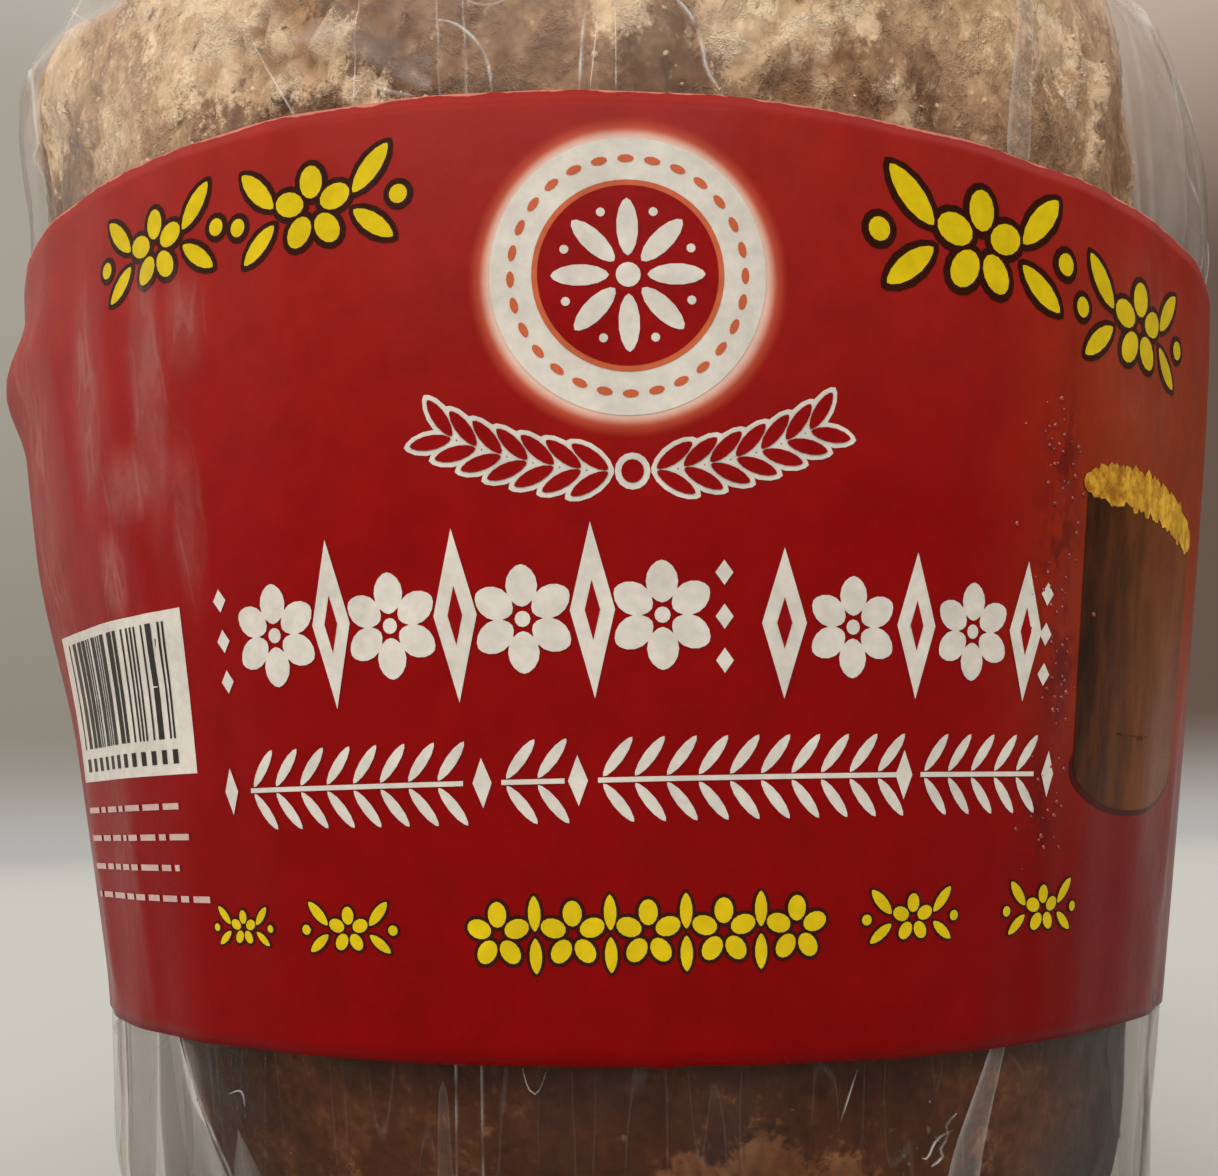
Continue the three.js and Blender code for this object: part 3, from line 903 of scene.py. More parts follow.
block_mesh, block_phi, block_row = spun_mesh("jaggery_block", block_profile, BLOCK_COLUMNS)
block_phi -= 0.4 * np.sin(block_phi)  # its columns lie closer together at the front
block_outline = np.array(block_profile)
block_radius, block_z = block_outline[block_row].T
block_surface, block_frost, block_hollow_shade = block_places(block_phi, block_radius, block_z)
block_dry = dryness(block_phi, over_the_rim(block_radius, block_surface[:, 2]))
for name, values in (("frost", block_frost), ("dry", block_dry), ("hollow_shade", block_hollow_shade)):
    mask(block_mesh, name, values)
block = finished(block_mesh, block_surface, jaggery_material())
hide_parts("bagged_block")


# Crumbs and crystals. Small bits of the block that broke off and hang between it and the film, thickest in
# its dry patches and along the top of the label, with a few clear crystals that glint. A cluster is given by
# its angle and height, how far it spreads both ways, and how many bits are in it.
CRUMB_CLUSTERS = [
    (-31, 87, 3.0, 0.8, 26),
    (-29, 91, 5, 3, 30),
    (-50, 96, 6, 5, 20),
    (-14, 86, 4, 1.5, 8),
    (9, 87, 4, 2, 16),
    (19, 86.5, 2.5, 1.2, 10),
    (33, 90, 6, 5, 14),
    (47, 92, 2.2, 4.5, 24),
    (46.5, 92, 0.8, 3.4, 80),
    (42.1, 93.5, 0.5, 1.6, 30),
    (25.4, 19.6, 1.6, 1.6, 18),
    (-30, 18, 8, 5, 12),
    (10, 20, 14, 5, 12),
]


def crumb(bm, place, size, seed):
    """One crumb, a squashed many-sided bit turned any way."""
    made = bmesh.ops.create_icosphere(bm, subdivisions=1, radius=size / 2)["verts"]
    turned = Matrix.Rotation(seed.uniform(0, 6.28), 4, Vector((seed.uniform(-1, 1), seed.uniform(-1, 1), 1)))
    squashed = Matrix.Diagonal((seed.uniform(0.5, 1.5), seed.uniform(0.4, 0.9), seed.uniform(0.6, 1.8), 1))
    bmesh.ops.transform(bm, matrix=Matrix.Translation(place) @ turned @ squashed, verts=made)


def crumb_material(name, colour, roughness, specular):
    material = new_material(name)
    sugar = add("ShaderNodeGroup", node_tree=sugar_grain)
    height = add("ShaderNodeSeparateXYZ", {0: here()})["Z"]
    clouded = smooth_range(sugar["Crumb"], 0.35, 0.65)
    uneven = mixed(clouded, tuple(0.5 * part for part in colour), colour)
    # Crumbs low on the block are darkened as its foot is: painted shade, partly moisture.
    tinted = darkened(uneven, spread(height, 0.026, 0.08, 0.12))
    skinned(tinted, roughness, specular, bumped(sugar["Height"], 0.5, 0.0002))
    return material


crumb_seed = random.Random(9)
crumb_at = []
for angle, height, wide, tall, count in CRUMB_CLUSTERS:
    for _ in range(count):
        crumb_at.append((angle + crumb_seed.gauss(0, wide), height + crumb_seed.gauss(0, tall)))
for _ in range(170):
    low, high = crumb_seed.choice([(84, 108), (5, 25)])
    crumb_at.append((crumb_seed.uniform(60, 300), crumb_seed.uniform(low, high)))
crumb_at = np.array(crumb_at)
wall_of_block = block_outline[9:130]
crumb_radius = np.interp(crumb_at[:, 1], wall_of_block[:, 1], wall_of_block[:, 0])
crumb_places, _, _ = block_places(np.radians(crumb_at[:, 0]), crumb_radius, crumb_at[:, 1])
crumbs, crystals = bmesh.new(), bmesh.new()
for number, point in enumerate(crumb_places):
    if number % 4:
        crumb(crumbs, Vector(point), crumb_seed.uniform(0.25, 0.7) ** 2, crumb_seed)
    else:
        crumb(crystals, Vector(point), crumb_seed.uniform(0.07, 0.18), crumb_seed)
for name, bm, material in (
    ("loose_crumbs", crumbs, crumb_material("dry_crumb", (0.86, 0.64, 0.41), 0.7, 0.3)),
    ("sugar_crystals", crystals, crumb_material("sugar_crystal", (0.85, 0.78, 0.66), 0.12, 1.0)),
):
    mesh = mesh_of(name, bm)
    piece = finished(mesh, places_in(mesh), material, smooth=False)
    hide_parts("bagged_block")


# Label band. Glossy laminated paper wrapped round the outside of the bag and glued to itself at the back. Its
# edges were cut by hand and run a little out of level, and it has buckled off the bag at its left.
LABEL_BOTTOM, LABEL_TOP = 25.5, 83.4
LABEL_BOTTOM_TILT, LABEL_TOP_TILT = 0.86, 2.58
LABEL_GAP, LABEL_THICKNESS = 0.35, 0.4
LABEL_BULGE, BULGE_PHI, BULGE_Z = 1.6, math.radians(-68), 76.4
LABEL_COLUMNS, LABEL_ROWS = 480, 60
OVERLAP_PHI = math.radians(174)
# Creases where the paper was pressed round the pack: angle and height at both ends, width and height.
LABEL_CREASES = [
    ((-52, 74), (-50, 62), 1.1, 0.16),
    ((-43, 76), (-40, 52), 1.2, 0.14),
    ((-37, 76), (-36.5, 66), 0.9, 0.12),
    ((-59, 68), (-57, 30), 1.5, 0.18),
    ((-47, 40), (-46, 28), 1.0, 0.1),
    ((33.5, 78), (35, 27), 1.6, 0.18),
    ((45, 80), (47, 60), 1.3, 0.1),
    ((62, 76), (60, 34), 1.5, 0.14),
    ((120, 78), (117, 50), 1.6, 0.16),
    ((-125, 70), (-121, 34), 1.5, 0.16),
    ((160, 60), (158, 30), 1.4, 0.15),
]
# Where the laminate is scuffed and dull, and at the label's left and right limbs painted glare, a pale haze
# standing for the reflection there: angle and height, half width and half height, and how much.
LABEL_SCUFFS_AND_GLARE = [
    (-59, 62, 5.5, 26, 0.8),
    (-46.2, 70.5, 1.8, 7.5, 0.85),
    (-37.5, 69, 2.0, 8.5, 0.9),
    (-33.3, 73, 2.2, 3.2, 0.55),
    (-40.8, 63.3, 4.2, 2.2, 0.75),
    (-34.3, 60, 1.6, 5.5, 0.5),
    (-44.5, 57.5, 1.8, 3.2, 0.8),
    (-50, 38, 3, 8, 0.3),
    (46, 72, 8, 8, 0.2),
    (65, 56, 3.5, 18, 0.35),
    (118, 60, 6, 16, 0.3),
    (-122, 48, 7, 18, 0.35),
    (160, 40, 6, 12, 0.2),
]


def label_radius(phi, z):
    """The radius of the label's outer face."""
    bulge = LABEL_BULGE * bell(turn_between(phi, BULGE_PHI), math.radians(13)) * bell(z - BULGE_Z, 3.4)
    creases = sum(high * bell(from_line(phi, z, a, b), width) for a, b, width, high in LABEL_CREASES)
    waves = 0.05 * np.cos(23 * phi + z / 9) + 0.05 * np.cos(37 * phi - z / 14 + 2)
    past_overlap = turn_between(phi, OVERLAP_PHI)
    overlap = 0.3 * rise(past_overlap, -0.35, -0.012) * (1 - rise(past_overlap, -0.012, 0.0))
    bag = wall_radius(z) + unevenness(phi, z)
    return bag + bulge + creases + waves + overlap + LABEL_GAP + LABEL_THICKNESS


def label_edges(phi):
    """The heights of the label's bottom and top edges."""
    bottom = LABEL_BOTTOM - LABEL_BOTTOM_TILT * np.sin(phi)
    bottom = bottom + 0.03 * np.sin(9 * phi + 1) + 0.02 * np.sin(31 * phi)
    top = LABEL_TOP - LABEL_TOP_TILT * np.sin(phi) + 0.04 * np.sin(11 * phi) + 0.02 * np.sin(29 * phi + 2)
    return bottom - 0.16 * bell(turn_between(phi, 0.03), 0.02), top


def label_point(phi, z, lift=0.0):
    return about_axis(label_radius(phi, z) + lift, phi, z)


def from_oval(phi, z, angle, height, wide, tall):
    """How far a point is from the middle of an oval, where 1 is the oval's edge."""
    return np.hypot(np.degrees(turn_between(phi, math.radians(angle))) / wide, (z - height) / tall)


def label_wear_and_glare(phi, z):
    """How scuffed the laminate is, with the painted glare at the label's limbs."""
    worn = np.zeros_like(phi)
    for *oval, strength in LABEL_SCUFFS_AND_GLARE:
        worn = np.maximum(worn, strength * bell(from_oval(phi, z, *oval) ** 2, 1.0))
    return worn


label_tall = LABEL_TOP - LABEL_BOTTOM
label_faces = [(0.0, row / 4) for row in range(4, -1, -1)]
label_faces += [(LABEL_THICKNESS, row / LABEL_ROWS) for row in range(LABEL_ROWS + 1)]
label_profile = [(50 + stand, LABEL_BOTTOM + share * label_tall) for stand, share in label_faces]
label_mesh, label_phi, label_row = spun_mesh("label_band", [*label_profile, label_profile[0]], LABEL_COLUMNS)
stand, share = np.array([*label_faces, (0.0, 1.0)])[label_row].T
bottom_edge, top_edge = label_edges(label_phi)
label_z = bottom_edge + share * (top_edge - bottom_edge)
label_places = label_point(label_phi, label_z, stand - LABEL_THICKNESS)
mask(label_mesh, "below_top", (1 - share) * label_tall)
mask(label_mesh, "hazed", label_wear_and_glare(label_phi, label_z))

# The clear laminate over the print, which the paper and every ink share: it mottles the colour under it,
# turns it pale and dull where it is scuffed and where glare is painted at the label's limbs, and holds a
# little dust.
laminate, laminate_in = open_group(
    "laminate",
    [("Colour", "Color", (1, 1, 1, 1)), ("Hazed", "Float", 0.0)],
    [("Colour", "Color"), ("Roughness", "Float"), ("Height", "Float")],
)
mottled = spread(grain(320, 4, 0.6), 0.3, 0.7, 0.86, 1.06)
tinted = darkened(laminate_in["Colour"], mottled)
streaks = smooth_range(grain(520, 4, 0.66, stretch=2), 0.36, 0.68)
fine_streaks = level_line(grain(300, 2, 0.5, stretch=4), 0.5, 0.03)
crinkled = scaled(fine_streaks, 0.5, scaled(streaks, 0.55, 0.4))
# Pale haze: real scuffs, and at the label's limbs painted glare.
hazed_here = times(crinkled, laminate_in["Hazed"], clamp=True)
paled = mixed(times(hazed_here, 0.26), tinted, (0.5, 0.34, 0.29))
dust_cells = add("ShaderNodeTexVoronoi", {"Vector": here(), "Scale": 240})
dust_spot = smooth_range(dust_cells["Distance"], 0.05, 0.03)
dust = times(dust_spot, math_node("GREATER_THAN", dust_cells["Color"], 0.93))
dusted = mixed(times(dust, 0.5), paled, (0.6, 0.45, 0.4))
dulled = spread(grain(90, 5, 0.6), 0.3, 0.7, 0.24, 0.38)
roughness = scaled(hazed_here, 0.25, dulled)
relief = scaled(hazed_here, 1.5, grain(900, 2))
add("NodeGroupOutput", {"Colour": dusted, "Roughness": roughness, "Height": relief})


def laminated(material, colour):
    """Lays the laminate over a colour."""
    inputs = {"Colour": colour, "Hazed": painted("hazed")}
    over = add("ShaderNodeGroup", inputs, node_tree=laminate)
    skinned(over["Colour"], over["Roughness"], 0.05, bumped(over["Height"], 0.14, 0.0002))
    return material


LABEL_ARC = 53.4  # millimetres to a radian at the front of the label
EMBLEM_X, EMBLEM_Z, EMBLEM_RADIUS = math.radians(0.3) * LABEL_ARC, 72.1, 8.4
# Red by height: lighter and pinker near the top as a painted highlight, darker low down as painted shade.
SHADED_RED_TONES = [(0.25, (0.195, 0.0008, 0.001)), (0.58, (0.245, 0.0032, 0.0032)), (0.85, (0.31, 0.019, 0.014))]
# Where the label is stained: angle and height, half width and half height.
STAIN = [(34.5, 56, 2.0, 7), (35.5, 49, 2.2, 5), (34.5, 64, 1.6, 4), (34, 40, 2.2, 4)]


def angle_from_front(x, y):
    return math_node("ARCTAN2", x, times(y, -1.0))


def label_material():
    """The printed paper: red, painted lighter and pinker towards its top as a highlight and darker below as
    shade, brown behind the picture, and with a glow round the emblem.
    """
    material = new_material("label_print")
    x, y, z = add("ShaderNodeSeparateXYZ", {0: here()})
    red_shaded_by_height = colour_ramp(math_node("DIVIDE", z, 0.1), SHADED_RED_TONES)
    angle = angle_from_front(x, y)
    rightward = smooth_range(angle, math.radians(24), math.radians(46))
    before_back = smooth_range(angle, math.radians(80), math.radians(66))
    above_foot = times(rightward, smooth_range(z, 0.034, 0.052))
    below_edge = times(before_back, smooth_range(z, 0.085, 0.066))
    ground = mixed(times(above_foot, below_edge), red_shaded_by_height, (0.26, 0.036, 0.011))
    dark_corner = times(rightward, smooth_range(z, 0.05, 0.036, 0.4))
    ground = mixed(dark_corner, ground, (0.07, 0.001, 0.001))
    aside = math_node("SUBTRACT", x, EMBLEM_X * MM)
    above = math_node("SUBTRACT", z, EMBLEM_Z * MM)
    away = add("ShaderNodeCombineXYZ", {"X": aside, "Y": above})[0]
    from_emblem = vector_node("LENGTH", {0: away}, "Value")
    in_front = math_node("LESS_THAN", y, 0.0)
    warm_glow = times(smooth_range(from_emblem, 0.0098, 0.0087, 0.8), in_front)
    pale_glow = times(smooth_range(from_emblem, 0.0091, 0.0084, 0.9), in_front)
    glowing = mixed(warm_glow, ground, (0.52, 0.1, 0.05))
    glowing = mixed(pale_glow, glowing, (0.74, 0.5, 0.4))
    chips = scaled(grain(420, 3, 0.6), 0.6, -0.23)
    chipped = math_node("SUBTRACT", painted("below_top"), chips)
    edged = mixed(smooth_range(chipped, 0.03, -0.03, 0.8), glowing, (0.62, 0.22, 0.15))
    blots = smooth_range(grain(260, 5, 0.7, stretch=1.6), 0.45, 0.57)
    stain = times(times(painted("stained"), blots), 0.75)
    return laminated(material, mixed(stain, edged, (0.085, 0.006, 0.005)))


def stain_at(phi, z):
    stained = np.zeros_like(phi)
    for oval in STAIN:
        stained = np.maximum(stained, bell(from_oval(phi, z, *oval), 1.2))
    return stained


mask(label_mesh, "stained", stain_at(label_phi, label_z))
label = finished(label_mesh, label_places, label_material())
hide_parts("label")


# Print on the label. Each ink is a layer of plain shapes on the paper: a frieze, garlands and sprigs in the
# places where such a pack has its words, an emblem of petals and leaves, a bar code, and a picture of the
# block.
def ink_material(name, colour):
    material = new_material(name)
    dots = spread(grain(1300, 2), 0.3, 0.7, 0.88)
    return laminated(material, darkened(colour, dots))


def shape(bm, centre, size, sides, turn=0.0, pointed=1.0):
    """A flat printed shape: a disc, a many-sided shape, or a leaf where its ends are pointed."""
    made = bmesh.ops.create_circle(bm, cap_ends=True, segments=sides, radius=1)["verts"]
    for vert in made:
        across = math.copysign(abs(vert.co.x) ** pointed, vert.co.x)
        vert.co = (across * size[0] / 2, vert.co.y * size[1] / 2, 0)
    move = Matrix.Translation((*centre, 0)) @ Matrix.Rotation(math.radians(turn), 4, "Z")
    bmesh.ops.transform(bm, matrix=move, verts=made)


def disc(bm, centre, width, sides):
    shape(bm, centre, (width, width), sides)


def slab(bm, centre, width, height):
    """A plain printed rectangle."""
    made = bmesh.ops.create_grid(bm, x_segments=1, y_segments=1, size=0.5)["verts"]
    move = Matrix.Translation((*centre, 0)) @ Matrix.Diagonal((width, height, 1, 1))
    bmesh.ops.transform(bm, matrix=move, verts=made)


def beyond(centre, turn, reach):
    """The place at a distance from a centre, straight above it unless it is turned."""
    away = Matrix.Rotation(math.radians(turn), 2) @ Vector((0, reach))
    return centre[0] + away.x, centre[1] + away.y


PRINT_CUTS = (1.1, 2.6)  # how far apart flat shapes are cut, across and up, so that they can follow the label


def printed(name, bm, height, lift, material):
    """Lays flat shapes on the label. Their x is the arc from the front at a height, and their y is height."""
    at = label_radius(np.array([0.0]), np.array([float(height)]))[0]
    for axis, step in enumerate(PRINT_CUTS):
        reach = [vert.co[axis] for vert in bm.verts]
        across = Vector((1 - axis, axis, 0))
        for cut in np.arange(min(reach) + step, max(reach), step):
            geometry = [*bm.verts, *bm.edges, *bm.faces]
            bmesh.ops.bisect_plane(bm, geom=geometry, plane_co=across * cut, plane_no=across, dist=1e-5)
    mesh = mesh_of(name, bm)
    flat = places_in(mesh)
    phi = flat[:, 0] / at
    mask(mesh, "hazed", label_wear_and_glare(phi, flat[:, 1]))
    piece = finished(mesh, label_point(phi, flat[:, 1], lift), material)
    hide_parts("label")


white_ink = ink_material("white_ink", (0.68, 0.625, 0.555))
yellow_ink = ink_material("yellow_ink", (0.69, 0.5, 0.008))
brown_ink = ink_material("brown_ink", (0.035, 0.008, 0.004))
red_ink = ink_material("red_ink", (0.26, 0.004, 0.004))
UNDER, OVER, TOPMOST = 0.04, 0.07, 0.1

# The title: a frieze of stout white flowers and lozenges by turns, in a long run and a short one.
title, title_hearts = bmesh.new(), bmesh.new()


def frieze_lozenge(centre, width, tall):
    """A tall lozenge with a red heart."""
    shape(title, centre, (width, tall), 4)
    shape(title_hearts, centre, (width * 0.34, tall * 0.34), 4)


def frieze_flower(centre, size):
    for turn in range(0, 360, 60):
        shape(title, beyond(centre, turn, size * 0.33), (size * 0.32, size * 0.42), 16, turn, 1.2)
    disc(title, centre, size * 0.16, 12)


for number in range(4):
    frieze_flower((-23.2 + 8.35 * number, 51.9), 6.0)
    if number < 3:
        frieze_lozenge((-19.0 + 8.35 * number, 52.3), 2.7, 10.4)
for number in range(3):
    frieze_lozenge((9.3 + 8.9 * number, 51.4), 2.8, 9.0)
    if number < 2:
        frieze_flower((13.75 + 8.9 * number, 51.2), 5.7)
for across, height in ((-27.6, 51.9), (28.9, 51.3), (5.6, 51.8)):
    for step in (-2.6, 0, 2.6):
        shape(title, (across, height + step), (1.1, 1.5), 4)
printed("title_print", title, 51.5, OVER, white_ink)
printed("title_hearts", title_hearts, 51.5, TOPMOST, red_ink)

# Under it, a garland: a thin white stem with slender leaves in pairs, in four runs with lozenges between.
garland = bmesh.new()
GARLAND_Z = 42.3
for start, pairs in ((-25.6, 8), (-8.0, 2), (-2.2, 10), (18.2, 5)):
    slab(garland, (start + pairs * 0.95, GARLAND_Z), pairs * 1.9, 0.3)
    for number in range(pairs):
        for side in (-1, 1):
            centre = (start + number * 1.9 + 1.2, GARLAND_Z + side * 1.35)
            shape(garland, centre, (0.72, 2.9), 12, turn=-side * 38, pointed=1.3)
for across in (-27.4, -9.2, -3.4, 17.0, 29.0):
    shape(garland, (across, GARLAND_Z), (1.2, 3.0), 4)
printed("garland_print", garland, 42.5, OVER, white_ink)


# Yellow sprigs with a dark rim. Each has a round-petalled flower between pointed leaves. `inks` are the rim's
# shapes, the sprig's own, and how wide the rim is.
def rimmed(inks, centre, size, turn=0.0, pointed=1.0):
    rim, ink, edge = inks
    shape(rim, centre, (size[0] + 2 * edge, size[1] + 2 * edge), 14, turn, pointed)
    shape(ink, centre, size, 14, turn, pointed)


def flower(inks, centre, size):
    for turn in range(0, 360, 72):
        rimmed(inks, beyond(centre, turn, size * 0.32), (size * 0.3, size * 0.4), turn)


def leaf(inks, foot, length, turn):
    rimmed(inks, beyond(foot, turn, length / 2), (length * 0.36, length), turn, 1.4)


def sprig(inks, centre, size):
    """A flower with a leaf up and a leaf down at each side, and a round bud beyond them."""
    x, z = centre
    flower(inks, centre, size * 1.15)
    for side in (-1, 1):
        leaf(inks, (x + side * size * 0.62, z + 0.12 * size), size * 0.8, -side * 42)
        leaf(inks, (x + side * size * 0.62, z - 0.12 * size), size * 0.72, -side * 128)
        rimmed(inks, (x + side * size * 1.28, z), (size * 0.26, size * 0.26))


rims, ink = bmesh.new(), bmesh.new()
for x, z, size, edge in (
    (-33.1, 78.6, 4.5, 0.4),
    (-19.6, 78.1, 4.6, 0.4),
    (23.8, 75.7, 5.9, 0.5),
    (40.3, 73.3, 5.4, 0.44),
):
    sprig((rims, ink, edge), (x, z), size)
printed("upper_sprig_rims", rims, 75.5, UNDER, brown_ink)
printed("upper_sprigs", ink, 75.5, OVER, yellow_ink)

rims, ink = bmesh.new(), bmesh.new()
for x, size in ((-26.6, 1.9), (-18.2, 2.4), (17.4, 2.5), (28.4, 2.6)):
    sprig((rims, ink, 0.16), (x, 33.6), size)
for number in range(5):
    x = -8.4 + 4.5 * number
    flower((rims, ink, 0.22), (x, 33.3), 3.8)
    if number < 4:
        leaf((rims, ink, 0.2), (x + 2.25, 33.3 + 0.2), 2.1, 0)
        leaf((rims, ink, 0.2), (x + 2.25, 33.3 - 0.2), 2.1, 180)
printed("lower_sprig_rims", rims, 33.5, UNDER, brown_ink)
printed("lower_sprigs", ink, 33.5, OVER, yellow_ink)

# The emblem: a pale disc, on it a red one with a flower of eight petals and a ring of orange dashes, and two
# sprays of red leaves with pale edges below.
emblem = (EMBLEM_X, EMBLEM_Z)
emblem_ground, emblem_red, emblem_pale, emblem_orange = (bmesh.new() for _ in range(4))
disc(emblem_ground, emblem, 2 * EMBLEM_RADIUS, 72)
disc(emblem_orange, emblem, 11.6, 60)
disc(emblem_red, emblem, 10.9, 60)
for turn in range(0, 360, 45):
    shape(emblem_pale, beyond(emblem, turn, 2.9), (1.3, 3.5), 14, turn, 1.2)
    disc(emblem_pale, beyond(emblem, turn + 22.5, 4.1), 0.55, 10)
disc(emblem_pale, emblem, 1.5, 16)
for dash in range(28):
    turn = dash * 360 / 28
    shape(emblem_orange, beyond(emblem, turn, 7.1), (1.0, 0.5), 10, turn)
SPRAY_RADIUS, SPRAY_CENTRE_Z, SPRAY_LEAVES = 26.0, 86.4, 7
for side in (-1, 1):
    for number in range(SPRAY_LEAVES):
        bearing = math.radians(3 + number * 3.7)
        stem = Vector((side * math.sin(bearing), -math.cos(bearing))) * SPRAY_RADIUS
        for tilt in (-32, 32):
            turn = side * (math.degrees(bearing) - 90 + tilt)
            centre = beyond((EMBLEM_X + stem.x, SPRAY_CENTRE_Z + stem.y), turn, 1.5)
            shape(emblem_ground, centre, (1.5, 3.5), 14, turn, 1.3)
            shape(emblem_red, centre, (0.9, 2.7), 14, turn, 1.3)
disc(emblem_ground, (EMBLEM_X, SPRAY_CENTRE_Z - SPRAY_RADIUS), 2.2, 16)
disc(emblem_red, (EMBLEM_X, SPRAY_CENTRE_Z - SPRAY_RADIUS), 1.4, 16)
printed("emblem_ground", emblem_ground, EMBLEM_Z, UNDER, white_ink)
printed("emblem_ring", emblem_orange, EMBLEM_Z, OVER, ink_material("orange_ink", (0.55, 0.12, 0.05)))
printed("emblem_field", emblem_red, EMBLEM_Z, TOPMOST, red_ink)
printed("emblem_flower", emblem_pale, EMBLEM_Z, TOPMOST + 0.03, white_ink)

# The bar code panel: white, with upright bars of seeded widths and short ones below, and four lines of small
# print as rows of dashes.
PANEL_LEFT, PANEL_RIGHT, PANEL_MIDDLE = -50.1, -31.2, 49.05
BAR = 0.229  # the width of the thinnest bar
panel_ground, panel_bars, small_print = bmesh.new(), bmesh.new(), bmesh.new()
slab(panel_ground, ((PANEL_LEFT + PANEL_RIGHT) / 2, PANEL_MIDDLE), PANEL_RIGHT - PANEL_LEFT, 10.9)
bar_seed = random.Random(21)
bar_left = PANEL_LEFT + 1.4
while bar_left < PANEL_RIGHT - 1.6:
    wide = BAR * bar_seed.choice([1, 1, 2, 3])
    slab(panel_bars, (bar_left + wide / 2, 49.9), wide, 7.8)
    bar_left += wide + BAR * bar_seed.choice([1, 1, 2, 3])
for number in range(12):
    slab(panel_bars, (PANEL_LEFT + 1.9 + number * 1.35, 44.8), 0.62, 0.95)
for row in range(4):
    dash_left = PANEL_LEFT + 2.2
    while dash_left < -33.0 + (row % 2) * 1.4:
        wide = bar_seed.uniform(0.5, 2.4)
        slab(small_print, (dash_left + wide / 2, 41.5 - row * 2.05), wide, 0.42)
        dash_left += wide + 0.5
printed("bar_code_panel", panel_ground, 49.0, UNDER, white_ink)
printed("bar_code_bars", panel_bars, 49.0, OVER, ink_material("black_ink", (0.03, 0.025, 0.02)))
printed("small_print", small_print, 39.0, OVER, ink_material("pale_ink", (0.6, 0.4, 0.36)))


# The picture of the block: a dark brown column with a golden broken top, on the label's brown ground.
def picture_material(name, dark, light, side, scale, stretch):
    """A printed picture's colour, streaked, and lighter towards its right as far as `side` says."""
    material = new_material(name)
    x, y, _ = add("ShaderNodeSeparateXYZ", {0: here()})
    lit = smooth_range(angle_from_front(x, y), math.radians(38), math.radians(54), side)
    streaked = smooth_range(grain(scale, 5, 0.7, stretch=stretch), 0.36, 0.66)
    tone = scaled(streaked, 1 - side, lit)
    return laminated(material, mixed(tone, dark, light))


picture, picture_top, picture_shade = bmesh.new(), bmesh.new(), bmesh.new()
slab(picture, (41.6, 52.0), 17.6, 18.4)
shape(picture, (41.6, 43.0), (17.6, 6.4), 30)
shape(picture_shade, (41.4, 42.7), (18.2, 6.6), 30)
ragged = random.Random(4)
for number in range(29):
    across = 33.0 + number * 0.6
    thick = 3.3 * math.sqrt(max(0.06, 1 - ((across - 41.6) / 9.2) ** 4)) + ragged.uniform(-0.35, 0.35)
    middle = 61.8 - 0.1 * (across - 33) + 0.9 * math.sin((across - 33) / 17 * math.pi)
    shape(picture_top, (across, middle), (1.5, thick), 9, ragged.uniform(0, 40))
dark_ink = ink_material("picture_shade", (0.06, 0.004, 0.003))
printed("picture_shade", picture_shade, 50.0, UNDER * 0.5, dark_ink)
brown = picture_material("picture_brown", (0.022, 0.007, 0.003), (0.2, 0.055, 0.012), 0.7, 480, 9)
printed("picture_block", picture, 50.0, UNDER, brown)
gold = picture_material("picture_gold", (0.3, 0.11, 0.01), (0.86, 0.5, 0.05), 0.35, 900, 1.0)
printed("picture_top", picture_top, 50.0, OVER, gold)

# The back of the label: a pale panel ruled like a table, and lines of small print beside the overlap.
back_panel, back_lines, back_print = bmesh.new(), bmesh.new(), bmesh.new()
slab(back_panel, (100.0, 55.0), 26.0, 34.0)
for row in range(9):
    slab(back_lines, (100.0, 39.6 + row * 3.8), 24.0, 0.22)
    for left, most in ((-10.8, 9.5), (3.5, 6.5)):
        wide = bar_seed.uniform(0.5, 1.0) * most
        slab(back_lines, (100.0 + left + wide / 2, 41.4 + row * 3.6), wide, 0.7)
for row in range(11):
    wide = 24.0 if row % 4 != 3 else 15.0
    slab(back_print, (-104.0 - (24.0 - wide) / 2, 70.0 - row * 3.1), wide, 0.75)
for row in range(3):
    slab(back_print, (-104.0, 33.5 - row * 1.9), 20.0, 0.5)
printed("back_panel", back_panel, 55.0, UNDER, white_ink)
printed("back_table", back_lines, 55.0, OVER, brown_ink)
printed("back_small_print", back_print, 55.0, OVER, white_ink)


# Sticky stain. Syrup that wept through the seam of the film and dried on the label in a dark smear of small
# beads.
bead_seed = random.Random(17)
bead_at = []
for angle, height, wide, tall in STAIN:
    for _ in range(int(5 * tall)):
        bead_angle = math.radians(angle + bead_seed.gauss(0, wide * 0.7))
        bead_at.append((bead_angle, height + bead_seed.gauss(0, tall * 0.6)))
beads = bmesh.new()
for point in label_point(*np.array(bead_at).T, 0.03):
    size = bead_seed.uniform(0.12, 0.34)
    bead = bmesh.ops.create_icosphere(beads, subdivisions=2, radius=size / 2)["verts"]
    flattened = Matrix.Diagonal((bead_seed.uniform(0.8, 1.1), 0.55, bead_seed.uniform(0.8, 1.3), 1))
    bmesh.ops.transform(beads, matrix=Matrix.Translation(Vector(point)) @ flattened, verts=bead)
bead_mesh = mesh_of("syrup_beads", beads)
syrup = new_material("dried_syrup")
syrup_spots = smooth_range(grain(900, 3), 0.35, 0.65)
syrup_tone = mixed(syrup_spots, (0.09, 0.008, 0.006), (0.3, 0.03, 0.025))
skinned(syrup_tone, 0.16, 0.6)
syrup_beads = finished(bead_mesh, places_in(bead_mesh), syrup)
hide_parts("label")


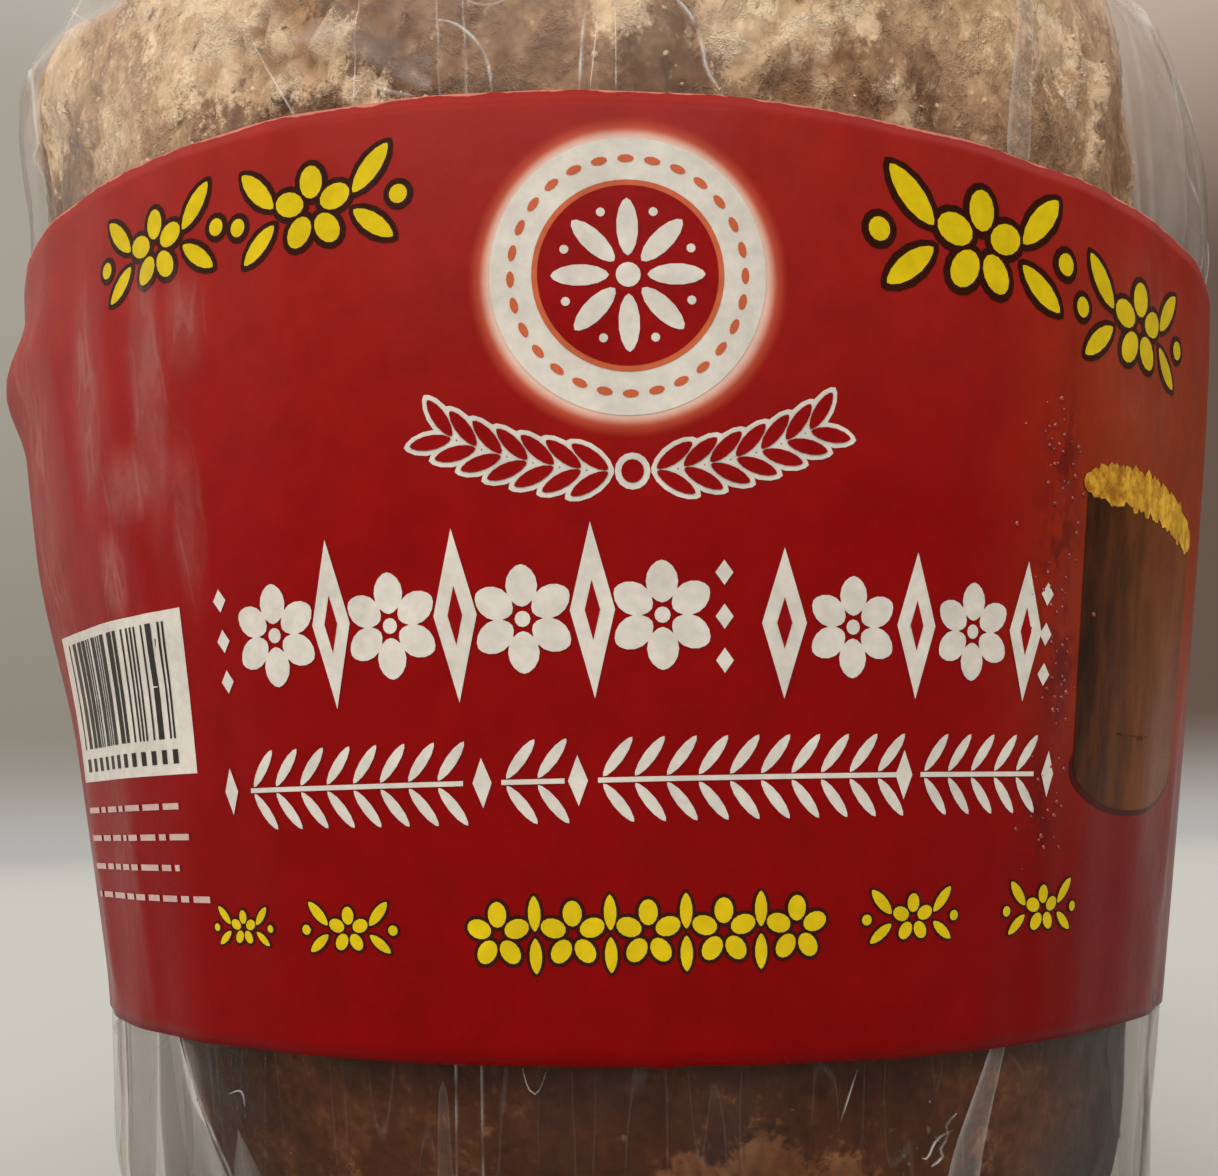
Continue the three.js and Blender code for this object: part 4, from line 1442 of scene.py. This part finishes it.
# Plain pale floor, which fades into the backdrop far behind.
floor_bm = bmesh.new()
bmesh.ops.create_grid(floor_bm, x_segments=1, y_segments=1, size=3)
floor = bpy.data.objects.new("floor", mesh_of("floor", floor_bm))
floor_paint = new_material("floor_paint")
floor_far = vector_node("LENGTH", {0: here()}, "Value")
floor_colour = {"Base Color": (0.44, 0.435, 0.41), "Roughness": 0.8}
floor_skin = add("ShaderNodeBsdfPrincipled", floor_colour)[0]
floor_gone = add("ShaderNodeBsdfTransparent")[0]
floor_parts = {0: smooth_range(floor_far, 0.5, 2.4), 1: floor_skin, 2: floor_gone}
floor_fade = add("ShaderNodeMixShader", floor_parts)[0]
add("ShaderNodeOutputMaterial", {"Surface": floor_fade})
floor.data.materials.append(floor_paint)
bpy.context.collection.objects.link(floor)
floor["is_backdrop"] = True


# Soft studio light: a bright sky overhead and a broad soft window in front, high enough that only the top of
# the label reflects it, against a dim room. The wall behind is grey at the left and brown at the right.
world = bpy.data.worlds.new("world")
bpy.context.scene.world = world
open_nodes(world)
direction = add("ShaderNodeTexCoord")["Generated"]
across, ahead, upward = add("ShaderNodeSeparateXYZ", {0: direction})
brown_up, grey_up = smooth_range(upward, 0.34, 0.52), smooth_range(upward, 0.0, 0.42)
brown_side = mixed(brown_up, (0.13, 0.09, 0.067), (0.47, 0.355, 0.29))
grey_side = mixed(grey_up, (0.27, 0.242, 0.2), (0.39, 0.36, 0.305))
wall_behind = mixed(smooth_range(across, -0.42, 0.42), grey_side, brown_side)
near_floor = smooth_range(upward, 0.07, -0.02)
wall_and_floor = mixed(near_floor, wall_behind, (0.46, 0.45, 0.42))
in_front = smooth_range(ahead, 0.1, -0.4)
dim_room = mixed(in_front, wall_and_floor, (0.07, 0.065, 0.06))
overhead = smooth_range(upward, 0.45, 0.95)
sky = mixed(overhead, dim_room, (1.7, 1.68, 1.62))
window_height = times(smooth_range(upward, 0.14, 0.42), smooth_range(upward, 0.74, 0.52))
window_width = times(smooth_range(across, -0.85, -0.45), smooth_range(across, 0.55, 0.2))
window = times(times(window_height, window_width), in_front)
lit = mixed(window, sky, (5.6, 5.5, 5.3))
far_left = smooth_range(across, -0.7, -0.96)
left_glow = times(far_left, smooth_range(upward, 0.95, 0.2), clamp=True)
lit = mixed(left_glow, lit, (1.1, 1.06, 1.0))
world_light = add("ShaderNodeBackground", {"Color": lit, "Strength": 1.0})[0]
add("ShaderNodeOutputWorld", {"Surface": world_light})
bpy.context.scene.view_settings.view_transform = "Standard"

low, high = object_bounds()
